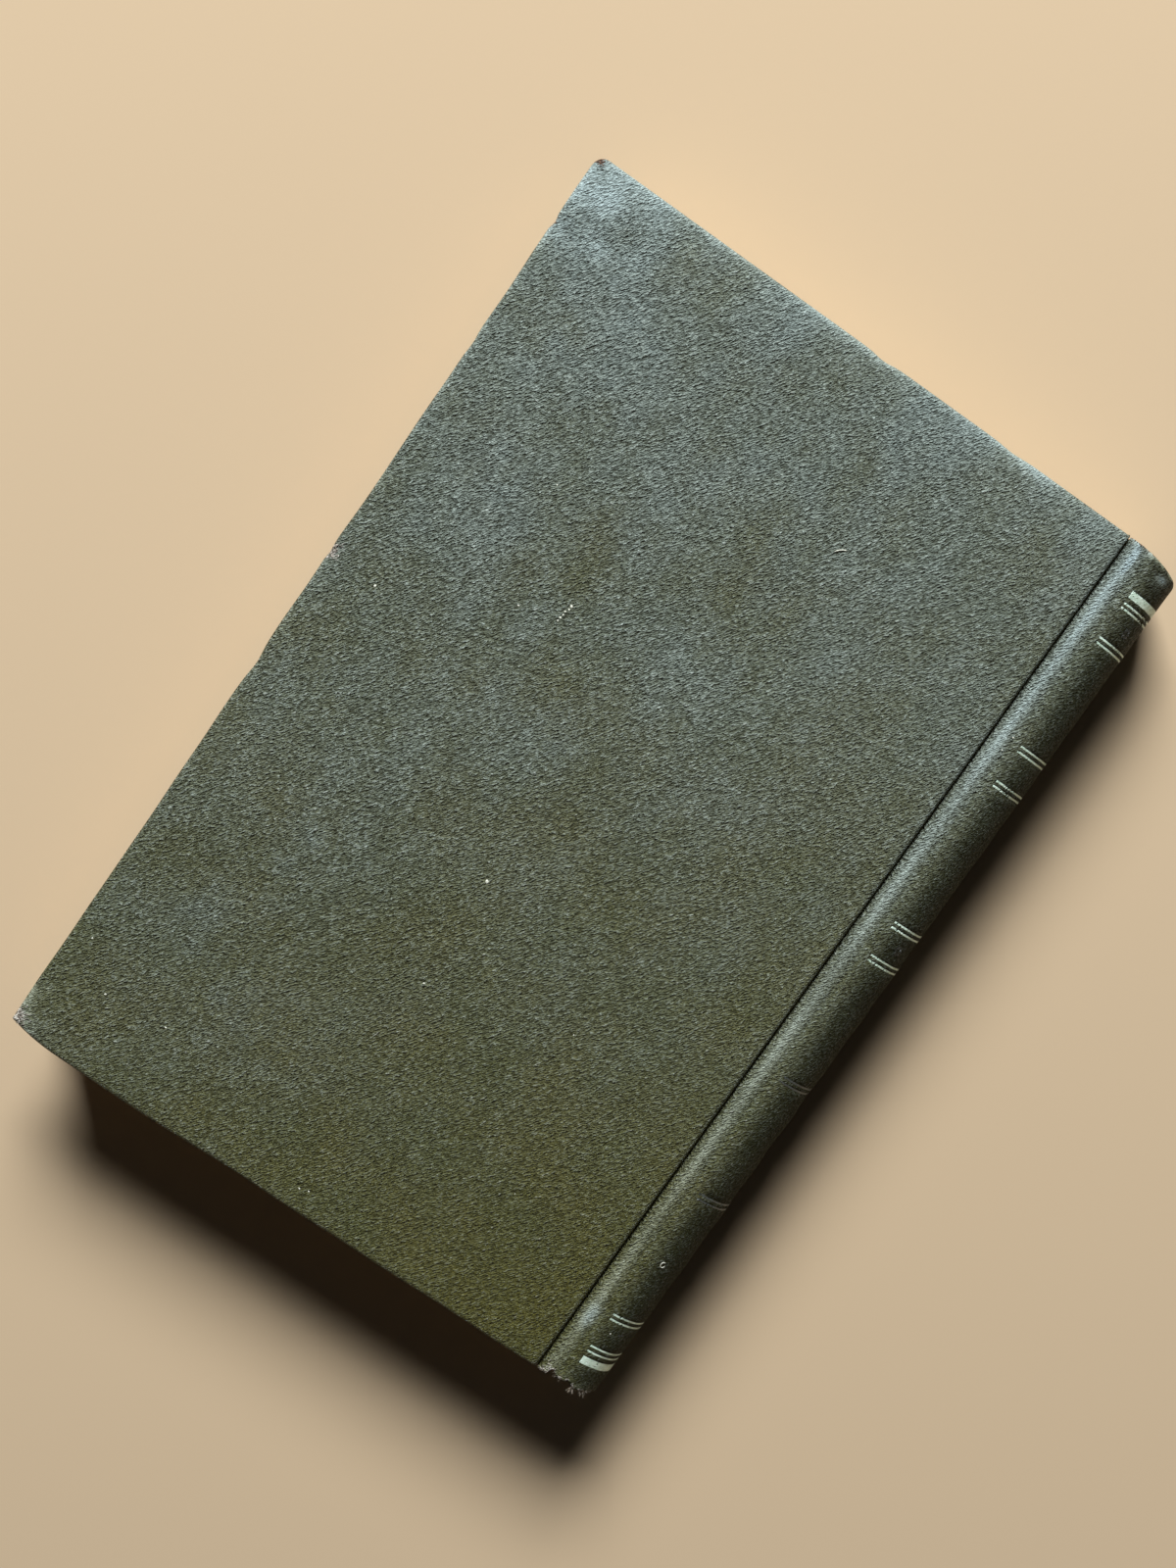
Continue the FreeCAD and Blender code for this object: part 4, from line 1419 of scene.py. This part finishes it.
def make_foils():
    groups = {}
    for middle, width, node in tooled_lines():
        groups.setdefault(node, []).append((middle, width))
    losses = {"tail_end_band": 0.015, "head_end_band": 0.03, "tail_end_fillets": 0.03,
              "head_end_fillets": 0.16, "panel_fillets": 0.06, "faded_fillets": 0.1}
    for number, (node, lines) in enumerate(sorted(groups.items())):
        faded = node == "faded_fillets"
        foil = make_foil_piece(node + "_foil", lines, FADED_FOIL if faded else BRIGHT_FOIL,
                               60 + 5 * number, losses[node])
        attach(foil, "text_block")
        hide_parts(node)


def petal(length, width, steps=9):
    """A thin leaf shape from the centre outwards along X, for the round ornaments."""
    share = np.linspace(0, 1, steps)
    half = width / 2 * np.sin(math.pi * share) ** 0.8
    reach = length * (0.28 + 0.72 * share)
    points = [(reach[n], side * half[n], 0.0) for n in range(steps) for side in (-1, 1)]
    faces = [(2 * n, 2 * n + 2, 2 * n + 3, 2 * n + 1) for n in range(steps - 1)]
    piece = new_piece("petal", points, faces, FADED_FOIL)
    return thicken(merge_doubles(piece), FOIL)


def make_ornaments():
    """Small rosettes in a row across the spine, pressed in and long since dulled."""
    middle = (TAIL_Y + HEAD_Y) / 2
    rows = [TAIL_Y + place for place in TAIL_ORNAMENTS] + [middle + place for place in MIDDLE_ORNAMENTS]
    rows += [HEAD_Y - place for place in HEAD_ORNAMENTS]
    radius = SPINE_RADIUS + 0.02
    places, turns, sizes = [], [], []
    for y in rows:
        for lean in np.radians(ORNAMENT_TURNS):
            outward = Vector((math.cos(lean), 0, math.sin(lean)))
            face_on = outward.to_track_quat("Z", "Y").to_matrix()
            for number in range(ORNAMENT_PETALS):
                turned = face_on @ Matrix.Rotation(2 * math.pi * number / ORNAMENT_PETALS, 3, "Z")
                places.append((SPINE_X + radius * outward.x, y, MIDDLE_Z + radius * outward.z))
                turns.append(tuple(turned.to_euler()))
                sizes.append((1.0, 1.0, 1.0))
    shape = petal(ORNAMENT_RADIUS, PETAL_WIDTH)
    ornaments = place_copies("spine_rosettes", shape, places, turns, sizes, FADED_FOIL)
    bend_to_spine(ornaments)
    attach(ornaments, "text_block")
    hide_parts("panel_ornaments")


def bend_to_spine(piece):
    """Lays flat petals onto the round of the spine."""
    for vertex in piece.data.vertices:
        x = vertex.co.x / MM - SPINE_X
        z = vertex.co.z / MM - MIDDLE_Z
        share = (SPINE_RADIUS + 0.03) / math.hypot(x, z)
        vertex.co.x = (SPINE_X + x * share) * MM
        vertex.co.z = (MIDDLE_Z + z * share) * MM


# Frayed threads at the spine's torn tail end and along the upper cover's worn edge

def strand(steps=8, sides=5):
    """A tapered thread of unit length along X, slightly bent."""
    points = []
    for step in range(steps):
        share = step / (steps - 1)
        reach = 0.055 * (1 - 0.75 * share)
        bend = 0.18 * share ** 2
        for side in range(sides):
            turn = 2 * math.pi * side / sides
            points.append((share, reach * math.cos(turn), bend + reach * math.sin(turn)))
    return face_outwards(new_piece("strand", points, tube_faces(steps, sides), BAND_CREAM))


def make_tail_fray():
    random = np.random.default_rng(77)
    places, turns, sizes = [], [], []
    for number in range(TAIL_THREADS):
        first, last, shortest, longest = TAIL_FRAYED[0 if number < TAIL_THREADS // 3 else 1]
        from_joint = random.uniform(first, last)
        x = JOINT_X + from_joint
        inside = math.sqrt(max(0.1, (SPINE_RADIUS - 0.5) ** 2 - max(0.0, x - SPINE_X) ** 2))
        tear = np.interp(from_joint, *np.array(TAIL_TEAR).T)
        y = TAIL_Y + tear + random.uniform(0.1, 0.7)
        places.append((x, y, MIDDLE_Z + inside - random.uniform(0.0, 0.5)))
        heading = math.radians(-90 + random.normal(0, 32))
        turns.append((random.uniform(0, 6.28), random.uniform(-0.5, 0.4), heading))
        length = random.uniform(shortest, longest)
        sizes.append((length, random.uniform(0.6, 1.3), random.uniform(0.4, 1.1)))
    fray = place_copies("tail_fray", strand(), places, turns, sizes, FRAY)
    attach(fray, "text_block")


def make_edge_fray():
    """Loose fibres at the upper cover's knocked corner, at the torn notch and at the rubbed corner."""
    random = np.random.default_rng(78)
    places, turns, sizes = [], [], []
    for first, last, heading, count in FRAYED:
        for _ in range(count):
            share = random.uniform(0, 1)
            x = first[0] + share * (last[0] - first[0])
            y = first[1] + share * (last[1] - first[1])
            places.append((FORE_X + x, TAIL_Y + y, TOP_Z - random.uniform(0.4, 1.5)))
            tilt = math.radians(heading + random.normal(0, 28))
            turns.append((random.uniform(0, 2 * math.pi), random.uniform(-0.5, 0.5), tilt))
            sizes.append((random.uniform(0.35, 0.85), random.uniform(0.6, 1.3), random.uniform(0.6, 1.3)))
    fray = place_copies("edge_fray", strand(), places, turns, sizes, FRAY)
    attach(fray, "back_cover")


# Joints

def joint_strip(name, path, start, end, material, thickness, upper, tail, head):
    """A strip along the joint through the section's path, from the block to a cover."""
    rows = np.linspace(tail, head, 70)
    path = np.asarray(path)
    points = np.stack([np.stack([path[:, 0], np.full(len(path), y), path[:, 1]], axis=-1) for y in rows])
    points = points.reshape(-1, 3)
    if not upper:
        points = to_lower(points)
        start = to_lower([start])[0]
        end = to_lower([end])[0]
    strip = new_piece(name, points, grid_faces(len(rows), len(path)), material, flip=upper)
    unworn = np.zeros(len(points))
    add_values(strip, rub=unworn, bare=unworn, haze=unworn)
    thicken(strip, thickness)
    face_outwards(strip)
    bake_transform(strip)
    return strip


def make_joint(side, upper):
    """The leather in the valley and the folded endpaper inside it."""
    bottom = TOP_Z - VALLEY_DEPTH
    bend = np.linspace(0, math.pi, 9)
    leather_path = [(JOINT_X + 0.52 - 0.55 * share, bottom - 0.22 * math.sin(turn) + 0.3)
                    for share, turn in zip(np.linspace(0, 1, 9), bend)]
    leather = joint_strip(side + "_joint_leather", leather_path, (JOINT_X + 0.45, 0, bottom),
                          (JOINT_X, 0, bottom), LEATHER_FINISH, JOINT_LEATHER, upper,
                          TAIL_Y + JOINT_SET_BACK, HEAD_Y - JOINT_SET_BACK)
    foot = flyleaf_high[2]
    fold = foot + PAPER_FOLD
    shares = np.linspace(0, 1, 17)
    paper_path = [(JOINT_X + 0.26 - 0.24 * share, foot + (fold - foot) * (1 - abs(2 * share - 1)) ** 0.7)
                  for share in shares]
    paper = joint_strip(side + "_hinge_paper", paper_path, (JOINT_X + 0.26, 0, foot),
                        (JOINT_X + 0.02, 0, foot), END_PAPER, FOLD_PAPER, upper,
                        block_low[1], block_high[1])


# Finishes of the pieces that stay as they are

def finish_cad_pieces():
    finishes = {
        "back_flyleaf": END_PAPER, "front_flyleaf": END_PAPER, "sewing_tapes": TAPE_LINEN,
        "mull": MULL_CLOTH, "spine_lining": LINING_PAPER,
    }
    for node, material in finishes.items():
        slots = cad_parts[node].material_slots
        for slot in slots:
            slot.link = "DATA"
            slot.material = material


# Stage

def make_stage():
    bpy.ops.mesh.primitive_plane_add(size=FLOOR_SIZE, location=(0, 0, -FLOOR_BELOW * MM))
    floor = bpy.context.active_object
    floor.name = "floor"
    floor.data.materials.append(make_floor())


def soft_light(name, towards, distance, size, power, colour):
    """A square lamp in one direction from the book, facing it."""
    lamp = bpy.data.lights.new(name, "AREA")
    lamp.shape = "RECTANGLE"
    lamp.size, lamp.size_y = size
    lamp.energy = power
    lamp.color = colour
    place = Vector(towards).normalized() * distance
    stand = bpy.data.objects.new(name, lamp)
    stand.location = place
    stand.rotation_mode = "QUATERNION"
    stand.rotation_quaternion = (-place).to_track_quat("-Z", "Y")
    bpy.context.scene.collection.objects.link(stand)


def make_light():
    soft_light("window", WINDOW_TOWARDS, WINDOW_AWAY, WINDOW_SIZE, WINDOW_POWER, (0.97, 0.99, 1.0))
    world = bpy.data.worlds.new("room_light")
    bpy.context.scene.world = world
    world.use_nodes = True
    tree = world.node_tree
    sky = tree.nodes["Background"]
    sky.inputs["Color"].default_value = (0.95, 0.97, 1.0, 1.0)
    sky.inputs["Strength"].default_value = ROOM_LIGHT
    backdrop = tree.nodes.new("ShaderNodeBackground")
    backdrop.inputs["Color"].default_value = paint(*BACKDROP)
    chosen = tree.nodes.new("ShaderNodeMixShader")
    tree.links.new(seen_rays(tree), chosen.inputs["Fac"])
    tree.links.new(sky.outputs["Background"], chosen.inputs[1])
    tree.links.new(backdrop.outputs["Background"], chosen.inputs[2])
    tree.links.new(chosen.outputs["Shader"], tree.nodes["World Output"].inputs["Surface"])


def make_camera():
    data = bpy.data.cameras.new("camera")
    data.lens = LENS
    data.sensor_width = SENSOR
    data.sensor_fit = "AUTO"
    data.clip_start = 0.01
    data.clip_end = 20.0
    camera = bpy.data.objects.new("camera", data)
    at = Vector(CAMERA_AT) * MM
    forward = (Vector(CAMERA_AIM) * MM - at).normalized()
    right = forward.cross(Vector(CAMERA_UP)).normalized()
    up = right.cross(forward)
    camera.matrix_world = Matrix((
        (right.x, up.x, -forward.x, at.x),
        (right.y, up.y, -forward.y, at.y),
        (right.z, up.z, -forward.z, at.z),
        (0, 0, 0, 1),
    ))
    bpy.context.scene.collection.objects.link(camera)
    bpy.context.scene.camera = camera


make_camera()
make_light()
make_stage()
make_cover("back", "back_cover", True)
make_cover("front", "front_cover", False)
make_pastedown("back", "back_cover", True)
make_pastedown("front", "front_cover", False)
make_specks()
make_stray_fibre()
make_spine_marks()
make_text_block()
make_end_band("head_band", "head_band", block_high[1], 1)
make_end_band("tail_band", "tail_band", block_low[1], -1)
make_stiffener()
make_spine()
make_foils()
make_ornaments()
make_tail_fray()
make_edge_fray()
make_joint("upper", True)
make_joint("lower", False)
finish_cad_pieces()

bpy.context.scene.view_settings.view_transform = "Standard"
